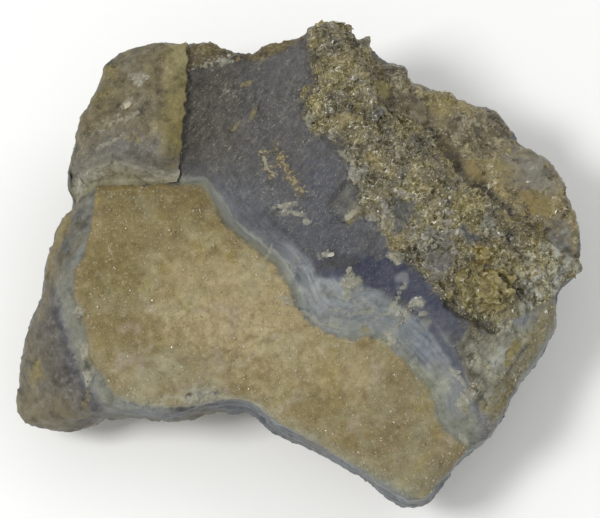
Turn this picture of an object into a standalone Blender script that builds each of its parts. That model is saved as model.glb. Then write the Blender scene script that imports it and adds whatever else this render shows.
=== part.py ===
"""A hand-size rough of blue lace agate, lying on its back on a small flat spot.

It is one stone, so it is one solid.  Its upper face shows a druse-lined plateau, a slate-blue fracture
face that climbs to the brown wall rock, a raised shoulder and a sloping flank.  The walls are broken
steeply under the rim and run in to the foot.

Metres, +Z up, the origin on the flat spot, +X along the stone's length.
"""
import bpy
import bmesh
import numpy as np
from math import cos, radians, sin
from mathutils import Vector, noise

NAME = "agate_specimen"
MM = 0.001

# ---- Driving dimensions, in millimetres ----
BLANK_HEIGHT = 30.0       # the blank that is shaped: its top is then drawn up or down to the face
VOXEL = 1.25              # grain of the shaped skin
FOOT_SCALE = 0.50         # the foot's plan against the rim's
RIM_ROUNDING = 1.0        # how far the rim itself is worn down
BELT = 0.66               # share of the height at which the wall starts to run in
FOOT_CENTRE = (1.0, -1.0)
FOOT_TRIM = 0.5           # what the level cut takes off the foot
TARGET_TRIANGLES = 8800

PLATEAU_HEIGHT = 24.5     # the druse plateau at the origin, and its fall along X and Y
PLATEAU_FALL = (-0.04, 0.05)
CREST_HEIGHT = 35.0       # the wall rock at its crest point, and its fall along X and Y
CREST_POINT = (7.0, 34.0)
CREST_FALL = (-0.16, 0.11)
TERRACE_DROP = 3.0        # the step along the terrace line, and the fall of the terrace beyond it
TERRACE_FALL = 0.20
SHOULDER_HEIGHT = 30.5    # the raised shoulder at its middle, and its fall along X and Y
SHOULDER_POINT = (-27.0, 25.0)
SHOULDER_FALL = (0.12, -0.06)
FACET_HEIGHT = 27.0       # the smooth lower right facet at its inner corner, and its fall
FACET_POINT = (27.0, -10.0)
FACET_FALL = (-0.45, 0.12)
FLANK_FALL = 0.9          # the left flank's drop for each mm out from the plateau
SLATE_SINK = 0.5          # the slate face starts this far under the druse crust
SLATE_RISE = 0.15         # its climb for each mm away from the plateau, at the left end
SLATE_TWIST = 0.006       # growth of that climb for each mm to the right, between its two ends
SLATE_ENDS = (-18.0, 22.0)
SOFT_EDGE = 2.0           # width over which a raised part's edge comes up
DRUSE_EDGE = (-0.3, 0.6)  # the druse crust ends between these distances from its outline
FACET_FLOOR = 12.0        # the lower right facet stops falling here, and lies in front of this Y
FACET_BACK = 5.0
FLANK_RIGHT = (-36.0, -33.5)   # the flank fades out between these X, and between these Y
FLANK_BACK = (10.0, 16.0)
LUMP = 13.0               # size of the broad lumps, and how high they are on the face and low on the walls
LUMP_HEIGHT = (0.5, 2.7)
PIMPLE = 5.0              # size and heights of the smaller ones
PIMPLE_HEIGHT = (0.35, 0.95)
NOISE_SHIFTS = (0.0, 31.7, 57.3)   # the same noise, read at three places, for X, Y and Z

# Plan of the rim, clockwise from the back peak
RIM = [
    (4, 38.5), (7, 40.5), (10, 37), (13.5, 34.5), (13.5, 32.5), (18.5, 31.5), (18.5, 29), (23.5, 28.5),
    (26, 29), (28.5, 26.5), (33, 26.5), (35, 24.5), (38, 20), (42.5, 17.5), (45, 14), (45.5, 10),
    (47.5, 5), (47.5, -1.5), (42.5, -5), (43.5, -11), (36.5, -20.5), (35, -23), (34, -26), (31, -30.5),
    (27.5, -33), (22.5, -38.5), (21, -41.5), (17, -41.5), (10.5, -37), (-0.5, -30.5), (-4.5, -28.5),
    (-7.5, -24.5), (-14, -24.5), (-20.5, -27.5), (-27.5, -27), (-34.5, -26), (-46, -27), (-48, -23),
    (-47.5, -21), (-47, -15), (-45, -8.5), (-43, -6), (-42.5, 0.5), (-41.5, 6.5), (-38, 9),
    (-39.5, 12.5), (-38.5, 15), (-38.5, 21), (-34, 28), (-34, 32), (-29.5, 35), (-24, 36), (-16, 36),
    (-8.5, 33.5), (-6, 35.5), (0, 36), (1.5, 37),
]
# Plan of the druse plateau
PLATEAU = [
    (-34.1, 11.0), (-30.9, 12.2), (-16.6, 11.0), (-14.9, 8.6), (-12.2, 4.0), (-8.6, 1.1), (-4.3, -2.3),
    (-1.8, -6.0), (-0.2, -10.1), (2.3, -12.8), (5.3, -14.3), (8.4, -15.1), (11.2, -14.2), (13.9, -15.0),
    (17.5, -18.6), (20.5, -22.7), (22.4, -28.4), (27.8, -33.0), (22.7, -40.3), (20.6, -41.9),
    (14.9, -39.2), (5.9, -34.5), (-1.1, -30.4), (-7.4, -27.2), (-14.1, -23.9), (-19.8, -26.3),
    (-30.0, -25.4), (-34.4, -18.6), (-37.3, -8.5), (-37.4, -4.1), (-34.7, 3.8),
]
# Plan of the raised shoulder; it runs past the rim on its outer sides
SHOULDER = [
    (-19.2, 45.0), (-19.0, 30.3), (-19.3, 23.4), (-20.2, 16.6), (-20.3, 12.9), (-33.4, 12.9),
    (-38.4, 8.9), (-55.0, 11.0), (-55.0, 45.0),
]
# Plan of the brown wall rock; it runs past the rim on its outer sides
WALL_ROCK = [
    (0.3, 45.0), (1.5, 30.7), (2.3, 27.5), (0.5, 25.0), (0.3, 21.0), (4.0, 17.5), (9.1, 11.7),
    (10.1, 9.0), (8.6, 4.7), (12.4, 3.9), (14.8, -1.0), (19.6, -4.8), (28.4, -12.7), (35.6, -11.9),
    (43.5, -7.2), (60.0, -5.8), (60.0, 45.0),
]
# The terrace line that runs across the wall rock, from the back to the right end
TERRACE = [(8.6, 29.9), (13.2, 20.6), (23.1, 12.5), (31.4, 7.0), (40.2, 4.2), (48.9, 0.0)]
# Fractures under the belt: direction in degrees from +X, reach on the ground, slope in degrees
FRACTURES = [
    (8, 17.0, 27), (52, 16.0, 33), (97, 19.0, 36), (146, 18.0, 27), (190, 20.0, 16), (232, 18.0, 17),
    (276, 14.0, 24), (322, 16.0, 29),
]


def smooth(start, end, value):
    """Rise from 0 at start to 1 at end."""
    t = np.clip((value - start) / (end - start), 0.0, 1.0)
    return t * t * (3.0 - 2.0 * t)


def plane(x, y, height, point, fall):
    """Height of a tilted plane."""
    return height + fall[0] * (x - point[0]) + fall[1] * (y - point[1])


def to_segment(a, b, x, y):
    """Distance to the segment a-b, and which side of it each point is on."""
    ex, ey = b[0] - a[0], b[1] - a[1]
    t = np.clip(((x - a[0]) * ex + (y - a[1]) * ey) / (ex * ex + ey * ey), 0.0, 1.0)
    side = np.sign(ex * (y - a[1]) - ey * (x - a[0]))
    return np.hypot(x - a[0] - t * ex, y - a[1] - t * ey), side


def inside_by(polygon, x, y):
    """Distance to a closed outline, positive inside it."""
    nearest = np.full(x.shape, 1e6)
    inside = np.zeros(x.shape, bool)
    for a, b in zip(polygon, polygon[1:] + polygon[:1]):
        nearest = np.minimum(nearest, to_segment(a, b, x, y)[0])
        if a[1] != b[1]:
            crossing = a[0] + (y - a[1]) * (b[0] - a[0]) / (b[1] - a[1])
            inside ^= ((a[1] > y) != (b[1] > y)) & (x < crossing)
    return np.where(inside, nearest, -nearest)


def left_of(line, x, y):
    """Distance to an open line, positive on its left."""
    nearest = np.full(x.shape, 1e6)
    sign = np.ones(x.shape)
    for a, b in zip(line, line[1:]):
        distance, side = to_segment(a, b, x, y)
        sign = np.where(distance < nearest, side, sign)
        nearest = np.minimum(nearest, distance)
    return nearest * sign


def top_height(x, y):
    """Height of the upper face over the plan, in millimetres."""
    plateau = plane(x, y, PLATEAU_HEIGHT, (0.0, 0.0), PLATEAU_FALL)
    away = -inside_by(PLATEAU, x, y)
    climb = SLATE_RISE + SLATE_TWIST * (np.clip(x, *SLATE_ENDS) - SLATE_ENDS[0])
    slate = plateau - SLATE_SINK + climb * np.maximum(away, 0.0)
    z = plateau + (slate - plateau) * smooth(*DRUSE_EDGE, away)

    wall_rock = plane(x, y, CREST_HEIGHT, CREST_POINT, CREST_FALL)
    beyond = left_of(TERRACE, x, y)
    wall_rock -= TERRACE_DROP * smooth(0.0, SOFT_EDGE, beyond) + TERRACE_FALL * np.maximum(beyond, 0.0)
    z += (wall_rock - z) * smooth(0.0, SOFT_EDGE, inside_by(WALL_ROCK, x, y))

    facet = plane(x, y, FACET_HEIGHT, FACET_POINT, FACET_FALL)
    z = np.where(y < FACET_BACK, np.minimum(z, np.maximum(facet, FACET_FLOOR)), z)

    shoulder = plane(x, y, SHOULDER_HEIGHT, SHOULDER_POINT, SHOULDER_FALL)
    z += (shoulder - z) * smooth(-SOFT_EDGE / 2, SOFT_EDGE, inside_by(SHOULDER, x, y))

    flank = np.minimum(plateau - FLANK_FALL * np.maximum(away, 0.0), z)
    on_flank = (1.0 - smooth(*FLANK_RIGHT, x)) * (1.0 - smooth(*FLANK_BACK, y))
    return z + (flank - z) * on_flank


def noise_vector(point, grain):
    """Smooth noise along X, Y and Z, with lumps of the given size in millimetres."""
    place = Vector(point) / grain
    return np.array([noise.noise(place + Vector((shift, shift, shift))) for shift in NOISE_SHIFTS])


def blank():
    """The rim's outline as a thick flat slab, made of small even faces."""
    curve = bpy.data.curves.new("rim", 'CURVE')
    curve.dimensions = '2D'
    curve.fill_mode = 'BOTH'
    curve.extrude = BLANK_HEIGHT / 2
    spline = curve.splines.new('POLY')
    spline.points.add(len(RIM) - 1)
    for point, (x, y) in zip(spline.points, RIM):
        point.co = (x, y, 0.0, 1.0)
    spline.use_cyclic_u = True
    outline = bpy.data.objects.new("rim", curve)
    bpy.context.scene.collection.objects.link(outline)
    outline.location.z = BLANK_HEIGHT / 2
    bpy.context.view_layer.update()
    mesh = bpy.data.meshes.new_from_object(outline.evaluated_get(bpy.context.evaluated_depsgraph_get()))
    mesh.transform(outline.matrix_world)
    bpy.data.objects.remove(outline)
    bm = bmesh.new()
    bm.from_mesh(mesh)
    bmesh.ops.remove_doubles(bm, verts=bm.verts, dist=0.01)
    bmesh.ops.recalc_face_normals(bm, faces=bm.faces)
    bm.to_mesh(mesh)
    bm.free()
    return mesh


def baked(mesh, kind, **settings):
    """A new mesh: the given one after one modifier."""
    holder = bpy.data.objects.new("holder", mesh)
    bpy.context.scene.collection.objects.link(holder)
    modifier = holder.modifiers.new(kind.lower(), kind)
    for key, value in settings.items():
        setattr(modifier, key, value)
    bpy.context.view_layer.update()
    result = bpy.data.meshes.new_from_object(holder.evaluated_get(bpy.context.evaluated_depsgraph_get()))
    bpy.data.objects.remove(holder)
    return result


def shape_skin(mesh):
    """Draw the slab's top to the face, run its walls in to the foot and roughen the whole skin."""
    count = len(mesh.vertices)
    flat = np.empty(count * 3)
    mesh.vertices.foreach_get("co", flat)
    x, y, z = flat.reshape(count, 3).T
    share = z / BLANK_HEIGHT
    rim_round = RIM_ROUNDING * smooth(SOFT_EDGE, 0.0, inside_by(RIM, x, y)) * smooth(0.8, 1.0, share)
    height = top_height(x, y) - rim_round
    run_in = 1.0 - (1.0 - FOOT_SCALE) * smooth(BELT, -0.1, share)
    shaped = np.stack([
        FOOT_CENTRE[0] + (x - FOOT_CENTRE[0]) * run_in,
        FOOT_CENTRE[1] + (y - FOOT_CENTRE[1]) * run_in,
        share * height,
    ], axis=1)
    low = smooth(0.75, 0.45, share)
    above_foot = smooth(-0.05, 0.15, share)
    for index, point in enumerate(shaped):
        broad = noise_vector(point, LUMP)
        fine = noise_vector(point, PIMPLE)
        relief = broad * np.interp(low[index], (0, 1), LUMP_HEIGHT)
        relief += fine * np.interp(low[index], (0, 1), PIMPLE_HEIGHT)
        shaped[index] += relief * above_foot[index]
    mesh.vertices.foreach_set("co", shaped.ravel())
    mesh.update()
    return mesh


def cut_away(bm, point, normal):
    """Remove what lies on the normal's side of a plane, and close the cut."""
    geometry = bm.verts[:] + bm.edges[:] + bm.faces[:]
    bmesh.ops.bisect_plane(bm, geom=geometry, dist=1e-5, plane_co=point, plane_no=normal, clear_outer=True)
    rim = [edge for edge in bm.edges if edge.is_boundary]
    bmesh.ops.holes_fill(bm, edges=rim, sides=0)


def keep_largest(bm):
    """Drop loose chips: only the piece with the most corners stays."""
    pieces = []
    unseen = set(bm.verts)
    while unseen:
        piece = {unseen.pop()}
        front = list(piece)
        while front:
            corner = front.pop()
            for edge in corner.link_edges:
                other = edge.other_vert(corner)
                if other in unseen:
                    unseen.discard(other)
                    piece.add(other)
                    front.append(other)
        pieces.append(piece)
    stone = max(pieces, key=len)
    bmesh.ops.delete(bm, geom=[v for v in bm.verts if v not in stone], context='VERTS')


def break_underside(mesh):
    """Flat fractures that run from the foot up to the belt, and the flat spot the stone lies on."""
    bm = bmesh.new()
    bm.from_mesh(mesh)
    for direction, reach, slope in FRACTURES:
        out = Vector((cos(radians(direction)), sin(radians(direction)), 0.0))
        normal = out * sin(radians(slope)) - Vector((0.0, 0.0, cos(radians(slope))))
        cut_away(bm, out * reach, normal)
    keep_largest(bm)
    bmesh.ops.triangulate(bm, faces=bm.faces)
    bm.to_mesh(mesh)
    bm.free()
    return mesh


def rest_flat(mesh):
    """Trim the foot level, set the stone down on z = 0 and turn the mesh to metres."""
    bm = bmesh.new()
    bm.from_mesh(mesh)
    cut_away(bm, Vector((0.0, 0.0, FOOT_TRIM)), Vector((0.0, 0.0, -1.0)))
    keep_largest(bm)
    bmesh.ops.translate(bm, vec=(0.0, 0.0, -FOOT_TRIM), verts=bm.verts)
    bmesh.ops.triangulate(bm, faces=bm.faces)
    bmesh.ops.dissolve_degenerate(bm, dist=0.01, edges=bm.edges)
    bmesh.ops.triangulate(bm, faces=bm.faces)
    bmesh.ops.scale(bm, vec=(MM, MM, MM), verts=bm.verts)
    bm.to_mesh(mesh)
    bm.free()
    return mesh


def material():
    """Slate-blue chalcedony."""
    stone = bpy.data.materials.new("banded_chalcedony")
    stone.use_nodes = True
    shader = stone.node_tree.nodes["Principled BSDF"]
    shader.inputs["Base Color"].default_value = (0.16, 0.17, 0.19, 1.0)
    shader.inputs["Roughness"].default_value = 0.5
    shader.inputs["Metallic"].default_value = 0.0
    return stone


def main():
    for old in list(bpy.data.objects):
        bpy.data.objects.remove(old)
    skin = baked(blank(), 'REMESH', mode='VOXEL', voxel_size=VOXEL)
    skin = break_underside(shape_skin(skin))
    skin = baked(skin, 'REMESH', mode='VOXEL', voxel_size=VOXEL)
    skin.calc_loop_triangles()
    ratio = TARGET_TRIANGLES / len(skin.loop_triangles)
    skin = baked(skin, 'DECIMATE', ratio=ratio, use_collapse_triangulate=True)
    stone = bpy.data.objects.new(NAME, rest_flat(skin))
    stone.data.materials.clear()
    stone.data.materials.append(material())
    parts = bpy.data.collections.new("blue_lace_agate_specimen")
    bpy.context.scene.collection.children.link(parts)
    parts.objects.link(stone)
    print(NAME, "triangles", len(stone.data.polygons))


main()
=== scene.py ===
# %% [markdown]
# # A rough of blue lace agate
# The stone is one broken piece of a vein: a tan druse face, thin pale bands round it, a slate-blue
# fracture face and brown sparkling wall rock.  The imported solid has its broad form.  Here a finer
# skin is grown on a copy of it, shaped and stained zone by zone, and given one node material that
# adds what is finer than the skin's faces.

# %% Load the frame
from math import cos, pi, radians, sin

import bmesh
import bpy
import numpy as np
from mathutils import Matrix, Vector, noise


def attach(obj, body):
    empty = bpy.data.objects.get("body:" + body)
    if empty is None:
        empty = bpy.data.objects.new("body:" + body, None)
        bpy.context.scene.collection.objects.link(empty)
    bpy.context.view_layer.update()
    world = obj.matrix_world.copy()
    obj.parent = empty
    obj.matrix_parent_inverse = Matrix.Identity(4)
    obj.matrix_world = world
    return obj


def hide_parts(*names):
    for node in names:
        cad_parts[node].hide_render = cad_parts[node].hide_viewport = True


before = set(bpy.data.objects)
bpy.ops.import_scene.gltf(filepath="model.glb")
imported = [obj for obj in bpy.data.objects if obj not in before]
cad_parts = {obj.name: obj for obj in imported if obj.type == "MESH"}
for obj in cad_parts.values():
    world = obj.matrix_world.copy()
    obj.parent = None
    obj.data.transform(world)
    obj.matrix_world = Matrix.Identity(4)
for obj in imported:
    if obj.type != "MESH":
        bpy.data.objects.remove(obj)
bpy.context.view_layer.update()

MM = 0.001
NODE = "agate_specimen"

# %% [markdown]
# ## The camera
# A stone on a table is looked at from steeply above, so the whole face shows with only a thin strip
# of its near wall.  A long lens from 42 cm keeps its outline from spreading.

# %% Camera
VIEW = (600, 518)             # width and height of the view, in dots
CAMERA_RISE = radians(72)     # angle of the line of sight above the table
CAMERA_DISTANCE = 0.42        # in metres, from the middle of the stone
DOT = 0.168 * MM              # one dot of the view, at the middle of the stone
MIDDLE = Vector((0.0, 0.0, 20 * MM))
SENSOR = 36.0                 # width in mm
NEAREST_SEEN = 0.01           # in metres

sight = Vector((0.0, cos(CAMERA_RISE), -sin(CAMERA_RISE)))
view_up = Vector((0.0, sin(CAMERA_RISE), cos(CAMERA_RISE)))
camera_data = bpy.data.cameras.new("camera")
camera_data.sensor_width = SENSOR
camera_data.lens = CAMERA_DISTANCE / DOT / VIEW[0] * SENSOR
camera_data.clip_start = NEAREST_SEEN
camera = bpy.data.objects.new("camera", camera_data)
bpy.context.scene.collection.objects.link(camera)
camera.location = MIDDLE - sight * CAMERA_DISTANCE
camera.rotation_euler = (pi / 2 - CAMERA_RISE, 0.0, 0.0)
bpy.context.scene.camera = camera
print("lens", round(camera_data.lens, 1), "mm")


def in_view(points):
    """Where points of the stone fall in the view, in dots: x to the right and y down."""
    away = points - np.array(camera.location)
    depth = away @ np.array(sight)
    scale = CAMERA_DISTANCE / DOT / depth
    x = VIEW[0] / 2 + away[:, 0] * scale
    y = VIEW[1] / 2 - (away @ np.array(view_up)) * scale
    return x, y


# %% [markdown]
# ## A fine skin on a copy of the solid
# The solid's faces are 2 to 3 mm wide, too coarse for grains.  A voxel remesh gives the copy even
# faces, smoothing takes the solid's flat facets out of it, and the upper face is then divided once
# more, because that is where the fine grain lies.

# %% Skin
SKIN_VOXEL = 0.68 * MM
SAME_PLACE = 0.001 * MM       # the solid's corners closer than this are one corner
SMOOTHING = 0.5               # how far a pass moves a corner towards its neighbours
SMOOTH_PASSES = 6
LAST_PASSES = 2               # after the upper face is divided
FACE_TILT = 0.45              # faces whose normal rises more than this are the upper face


def only(piece):
    """Select one piece and make it active."""
    bpy.ops.object.select_all(action='DESELECT')
    piece.select_set(True)
    bpy.context.view_layer.objects.active = piece


def finish_with(piece, kind, **settings):
    """Add a modifier with its settings and apply it."""
    modifier = piece.modifiers.new(kind.lower(), kind)
    for key, value in settings.items():
        setattr(modifier, key, value)
    only(piece)
    bpy.ops.object.modifier_apply(modifier=modifier.name)


stone = bpy.data.objects.new("agate_stone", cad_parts[NODE].data.copy())
bpy.context.scene.collection.objects.link(stone)
merged = bmesh.new()
merged.from_mesh(stone.data)
bmesh.ops.remove_doubles(merged, verts=merged.verts, dist=SAME_PLACE)
merged.to_mesh(stone.data)
merged.free()
finish_with(stone, 'REMESH', mode='VOXEL', voxel_size=SKIN_VOXEL)
finish_with(stone, 'SMOOTH', factor=SMOOTHING, iterations=SMOOTH_PASSES)
fine = bmesh.new()
fine.from_mesh(stone.data)
fine.normal_update()
upper = {edge for face in fine.faces if face.normal.z > FACE_TILT for edge in face.edges}
bmesh.ops.subdivide_edges(fine, edges=[e for e in fine.edges if e in upper], cuts=1, use_grid_fill=True)
bmesh.ops.triangulate(fine, faces=[face for face in fine.faces if len(face.verts) > 4])
fine.to_mesh(stone.data)
fine.free()
finish_with(stone, 'SMOOTH', factor=SMOOTHING, iterations=LAST_PASSES)
stone.data.calc_loop_triangles()
print("skin", len(stone.data.vertices), "corners,", len(stone.data.loop_triangles), "triangles")

# %% [markdown]
# ## Outlines of the zones
# Each zone of the face is marked by an outline in the view, in dots, as a draughtsman would mark it.
# Every corner of the skin then knows how far it is from each outline, in millimetres.

# %% Outlines
DRUSE = [
    # the tan crust of quartz sugar
    (96, 185), (115, 178), (140, 184), (201, 186), (211, 200), (227, 227), (248, 244), (274, 264),
    (289, 286), (299, 310), (314, 326), (332, 335), (351, 340), (368, 335), (384, 340), (406, 361),
    (425, 386), (434, 402), (437, 420), (450, 434), (470, 448), (446, 484), (427, 503), (400, 492),
    (366, 472), (336, 456), (293, 431), (255, 410), (233, 406), (214, 391), (189, 394), (179, 405),
    (158, 408), (116, 398), (104, 380), (90, 358), (85, 326), (74, 298), (74, 272), (85, 253), (91, 226),
]
WALL_ROCK = [
    # the brown, sparkling wall rock
    (302, 0), (309, 60), (314, 79), (303, 95), (302, 119), (324, 138), (343, 151), (355, 172),
    (361, 188), (355, 215), (375, 218), (390, 249), (419, 272), (446, 301), (473, 321), (515, 322),
    (560, 300), (640, 300), (640, 0),
]
SHOULDER = [
    # the raised plate at the back left
    (187, 0), (187, 70), (185, 110), (179, 150), (178, 180), (150, 183), (96, 184), (72, 205),
    (0, 205), (0, 0),
]
LACE = [
    # the pale bands beside the druse
    (187, 168), (205, 163), (222, 186), (234, 204), (262, 232), (290, 246), (310, 262), (322, 276),
    (350, 276), (375, 290), (395, 300), (412, 318), (436, 322), (452, 345), (466, 372), (478, 408),
    (486, 436), (470, 456), (400, 440), (250, 300), (190, 190),
]
NAVY = [
    # the clear dark blue lens in the lace
    (316, 262), (340, 256), (372, 258), (388, 250), (408, 264), (430, 284), (452, 312), (462, 334),
    (444, 330), (424, 312), (404, 300), (380, 288), (350, 276), (322, 276),
]
FLANK = [
    # the low weathered left side
    (98, 184), (92, 226), (86, 253), (75, 272), (75, 298), (86, 326), (91, 358), (105, 380), (116, 399),
    (95, 428), (0, 450), (0, 190), (72, 205),
]
FACET = [
    # the pale break that slopes down at the right
    (473, 321), (515, 318), (548, 300), (580, 300), (560, 340), (500, 440), (470, 452), (482, 436),
    (474, 400), (455, 345),
]

# %% [markdown]
# An outline is of use once the distance to it is known.  Three small helpers measure it, and a
# fourth turns a distance into a soft edge.  The face is what looks up, not the walls, and it runs a
# little further down where the rim is worn round.

# %% Distances to the outlines


def to_segment(a, b, x, y):
    """Distance from each point to the segment a-b."""
    ex, ey = b[0] - a[0], b[1] - a[1]
    t = np.clip(((x - a[0]) * ex + (y - a[1]) * ey) / (ex * ex + ey * ey), 0.0, 1.0)
    return np.hypot(x - a[0] - t * ex, y - a[1] - t * ey)


def inside_by(outline):
    """Distance to a closed outline in millimetres, positive inside it."""
    nearest = np.full(px.shape, np.inf)
    inside = np.zeros(px.shape, bool)
    for a, b in zip(outline, outline[1:] + outline[:1]):
        nearest = np.minimum(nearest, to_segment(a, b, px, py))
        if a[1] != b[1]:
            crossing = a[0] + (py - a[1]) * (b[0] - a[0]) / (b[1] - a[1])
            inside ^= ((a[1] > py) != (b[1] > py)) & (px < crossing)
    return np.where(inside, nearest, -nearest) * DOT / MM


def from_line(line):
    """Distance to an open line in millimetres."""
    return np.min([to_segment(a, b, px, py) for a, b in zip(line, line[1:])], axis=0) * DOT / MM


def smooth(start, end, value):
    """Rise from 0 at start to 1 at end."""
    t = np.clip((value - start) / (end - start), 0.0, 1.0)
    return t * t * (3.0 - 2.0 * t)


def corners(piece):
    """The corners' places, one row each, in metres."""
    flat = np.empty(len(piece.data.vertices) * 3)
    piece.data.vertices.foreach_get("co", flat)
    return flat.reshape(-1, 3)


def normals(piece):
    """The outward direction at each corner."""
    flat = np.empty(len(piece.data.vertices) * 3)
    piece.data.vertex_normals.foreach_get("vector", flat)
    return flat.reshape(-1, 3)


def tell(name, zone):
    """Print how much of the skin a zone covers."""
    print(name, round(float((zone > 0.5).mean() * 100)), "% of the corners")


WORN = 0.35                   # how far the face runs down over the worn near left edge
NOTCH_WORN = 0.40             # and down into the notch of the near edge
NOTCH = 212                   # the notch's middle, in dots from the left
places = corners(stone)
outward = normals(stone)
px, py = in_view(places)
druse = inside_by(DRUSE)
wall_rock = inside_by(WALL_ROCK)
shoulder = inside_by(SHOULDER)
lace = inside_by(LACE)
navy = inside_by(NAVY)
flank = inside_by(FLANK)
facet = inside_by(FACET)
by_notch = smooth(50, 35, np.abs(px - NOTCH))
high_up = smooth(19.0, 21.0, places[:, 2] / MM)
rounded = WORN * smooth(150, 110, px) * smooth(370, 395, py)
rounded += NOTCH_WORN * by_notch * smooth(380, 392, py) * high_up
face = smooth(0.2 - rounded, 0.45 - rounded, outward[:, 2])   # 1 on the upper face, 0 on the walls
tell("upper face", face)

# %% [markdown]
# ## Depth in the vein
# The bands lie parallel to the druse, because they grew before it, layer on layer.  So on the walls
# a band follows the depth under the druse's plane.

# %% Depth under the druse
PLATEAU_HEIGHT = 24.0         # in mm, at the middle of the stone
PLATEAU_FALL = (-0.04, 0.05)  # in mm for each mm along x and y
x_mm, y_mm, z_mm = (places / MM).T
depth = PLATEAU_HEIGHT + PLATEAU_FALL[0] * x_mm + PLATEAU_FALL[1] * y_mm - z_mm
print("depth from", round(float(depth.min()), 1), "to", round(float(depth.max()), 1), "mm")

# %% [markdown]
# ## Lumps and facets
# Broken stone is rough at every size.  Smooth noise gives rounded lumps.  For hackly, broken facets
# each Voronoi cell gets a tilt of its own, so that flat chips meet at sharp creases.

# %% Noise on the skin
LUMP_REACH = 1.6              # brings the noise to about -1 to 1
HEARTS_APART = 3.7            # how far apart neighbouring chips read their tilt in the noise
CHIP_TILT = 3.0
CHIP_STEP = 0.6               # how much whole chips stand above or below each other
spots = [Vector(place) / MM for place in places]


def lumps(size, shift=0.0):
    """Smooth noise from about -1 to 1, with lumps of the given size in millimetres."""
    offset = Vector((shift, shift * 0.7, -shift))
    return np.array([noise.noise(spot / size + offset) for spot in spots]) * LUMP_REACH


def facets(size, shift=0.0):
    """Height of flat, randomly tilted chips, about -1 to 1, and how near each corner is to a crease."""
    height = np.empty(len(spots))
    crease = np.empty(len(spots))
    offset = Vector((shift, -shift, shift * 0.4))
    for index, spot in enumerate(spots):
        place = spot / size + offset
        distances, centres = noise.voronoi(place)
        heart = centres[0] * HEARTS_APART
        tilt = Vector((noise.noise(heart), noise.noise(heart.zxy + offset), noise.noise(heart.yzx)))
        height[index] = (place - centres[0]).dot(tilt) * CHIP_TILT + noise.noise(heart.zyx) * CHIP_STEP
        crease[index] = distances[1] - distances[0]
    return np.clip(height, -1.0, 1.0), crease


# each is named for the width of its lumps or chips in millimetres
lump_20 = lumps(20)
lump_8 = lumps(8, 3)
lump_3 = lumps(3, 7)
lump_1 = lumps(1.2, 11)
lump_half = lumps(0.6, 17)
chip_6 = facets(6.0)[0]
chip_2, crease_2 = facets(2.2, 5.0)
chip_1 = facets(1.0, 9.0)[0]
print("noise ready for", len(spots), "corners")

# %% [markdown]
# ## Fields
# Small features are drawn as fields: a field is 1 at the heart of the feature, 0 at its edge and
# negative beyond.  Its edge is roughened by the noise, so nothing small has a drawn outline.

# %% Fields


def blob(middle, radii, turn=0.0, ragged=0.25):
    """The field of an oval; middle and radii are in dots, turn in degrees."""
    dx, dy = px - middle[0], py - middle[1]
    along = (dx * cos(radians(turn)) + dy * sin(radians(turn))) / radii[0]
    across = (dy * cos(radians(turn)) - dx * sin(radians(turn))) / radii[1]
    return np.clip(1.0 - np.hypot(along, across) + ragged * lump_1, -1.0, 1.0)


def stroke(line, width, ragged=0.25):
    """The field of a line through the given dots; the width is in millimetres."""
    return np.clip(1.0 - from_line(line) / width + ragged * lump_1, -1.0, 1.0)


def most(fields):
    """The strongest of several fields."""
    return np.max(list(fields), axis=0)


# %% [markdown]
# The zones meet along ragged lines, as crusts and breaks do.  Each zone is 1 inside and 0 outside.
# Its edge runs between the two distances that smooth is given, in millimetres, and lumps shake it.

# %% Zones of the face
CRUST = [
    # the brown crust on the back edge
    (187, 0), (187, 72), (203, 67), (218, 63), (236, 56), (262, 62), (286, 50), (304, 40), (304, 0),
]
on_druse = smooth(-0.15, 0.2, druse + 0.2 * lump_1) * face
on_rock = smooth(-0.6, 0.6, wall_rock + 0.7 * lump_3 + 0.4 * lump_1) * face
on_shoulder = smooth(-0.2, 0.3, shoulder + 0.2 * lump_1) * face
on_flank = smooth(-0.1, 0.5, flank) * face
on_facet = smooth(-0.3, 0.8, facet + 0.4 * lump_3) * face
on_rock = on_rock * (1.0 - on_facet)
on_crust = smooth(-0.2, 0.4, inside_by(CRUST) + 0.3 * lump_1) * face * (1 - on_shoulder) * (1 - on_rock)
on_slate = np.clip(1.0 - on_druse - on_rock - on_shoulder - on_flank - on_facet, 0.0, 1.0) * face
on_wall = 1.0 - face
underside = smooth(0.2, -0.3, outward[:, 2])
foot = smooth(0.1, 2.5, z_mm)   # keeps the flat spot that the stone rests on
tell("druse", on_druse)
tell("wall rock", on_rock)

# %% [markdown]
# The wall rock breaks off along a terrace and is glassy past it.  In a few places the quartz broke
# smooth and clear.

# %% Terrace and smooth places
TERRACE = [
    # where the wall rock breaks off
    (366, 40), (374, 104), (400, 118), (424, 132), (444, 160), (464, 184), (484, 198), (512, 218),
    (540, 240), (600, 280),
]
past_terrace = inside_by(TERRACE + [(640, 262), (640, 0), (366, 0)]) + 0.5 * lump_3 + 0.3 * lump_1
on_glassy = on_rock * smooth(-0.1, 0.9, past_terrace)
CALM = [
    # middle, radii and turn of the places where the wall rock broke smooth and clear
    ((532, 175), (36, 24), 35), ((563, 242), (14, 30), -15), ((440, 266), (17, 19), 0),
    ((400, 218), (22, 26), 20), ((342, 122), (12, 12), 0), ((426, 112), (34, 10), 30),
    ((462, 160), (34, 9), 48), ((372, 250), (12, 14), 0), ((466, 234), (18, 10), 40),
    ((540, 206), (15, 15), 0), ((512, 318), (20, 12), 10),
]
calm = smooth(0.0, 0.4, most(blob(middle, radii, turn, 0.5) for middle, radii, turn in CALM)) * on_rock
tell("glassy rock", on_glassy)

# %% [markdown]
# Bruises are pale, where a knock has crushed the quartz.  Iron has stained other places yellow or
# rust.  Their places are in dots.
# They are kept as fields, so that the material can give them ragged edges finer than the skin.

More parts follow.
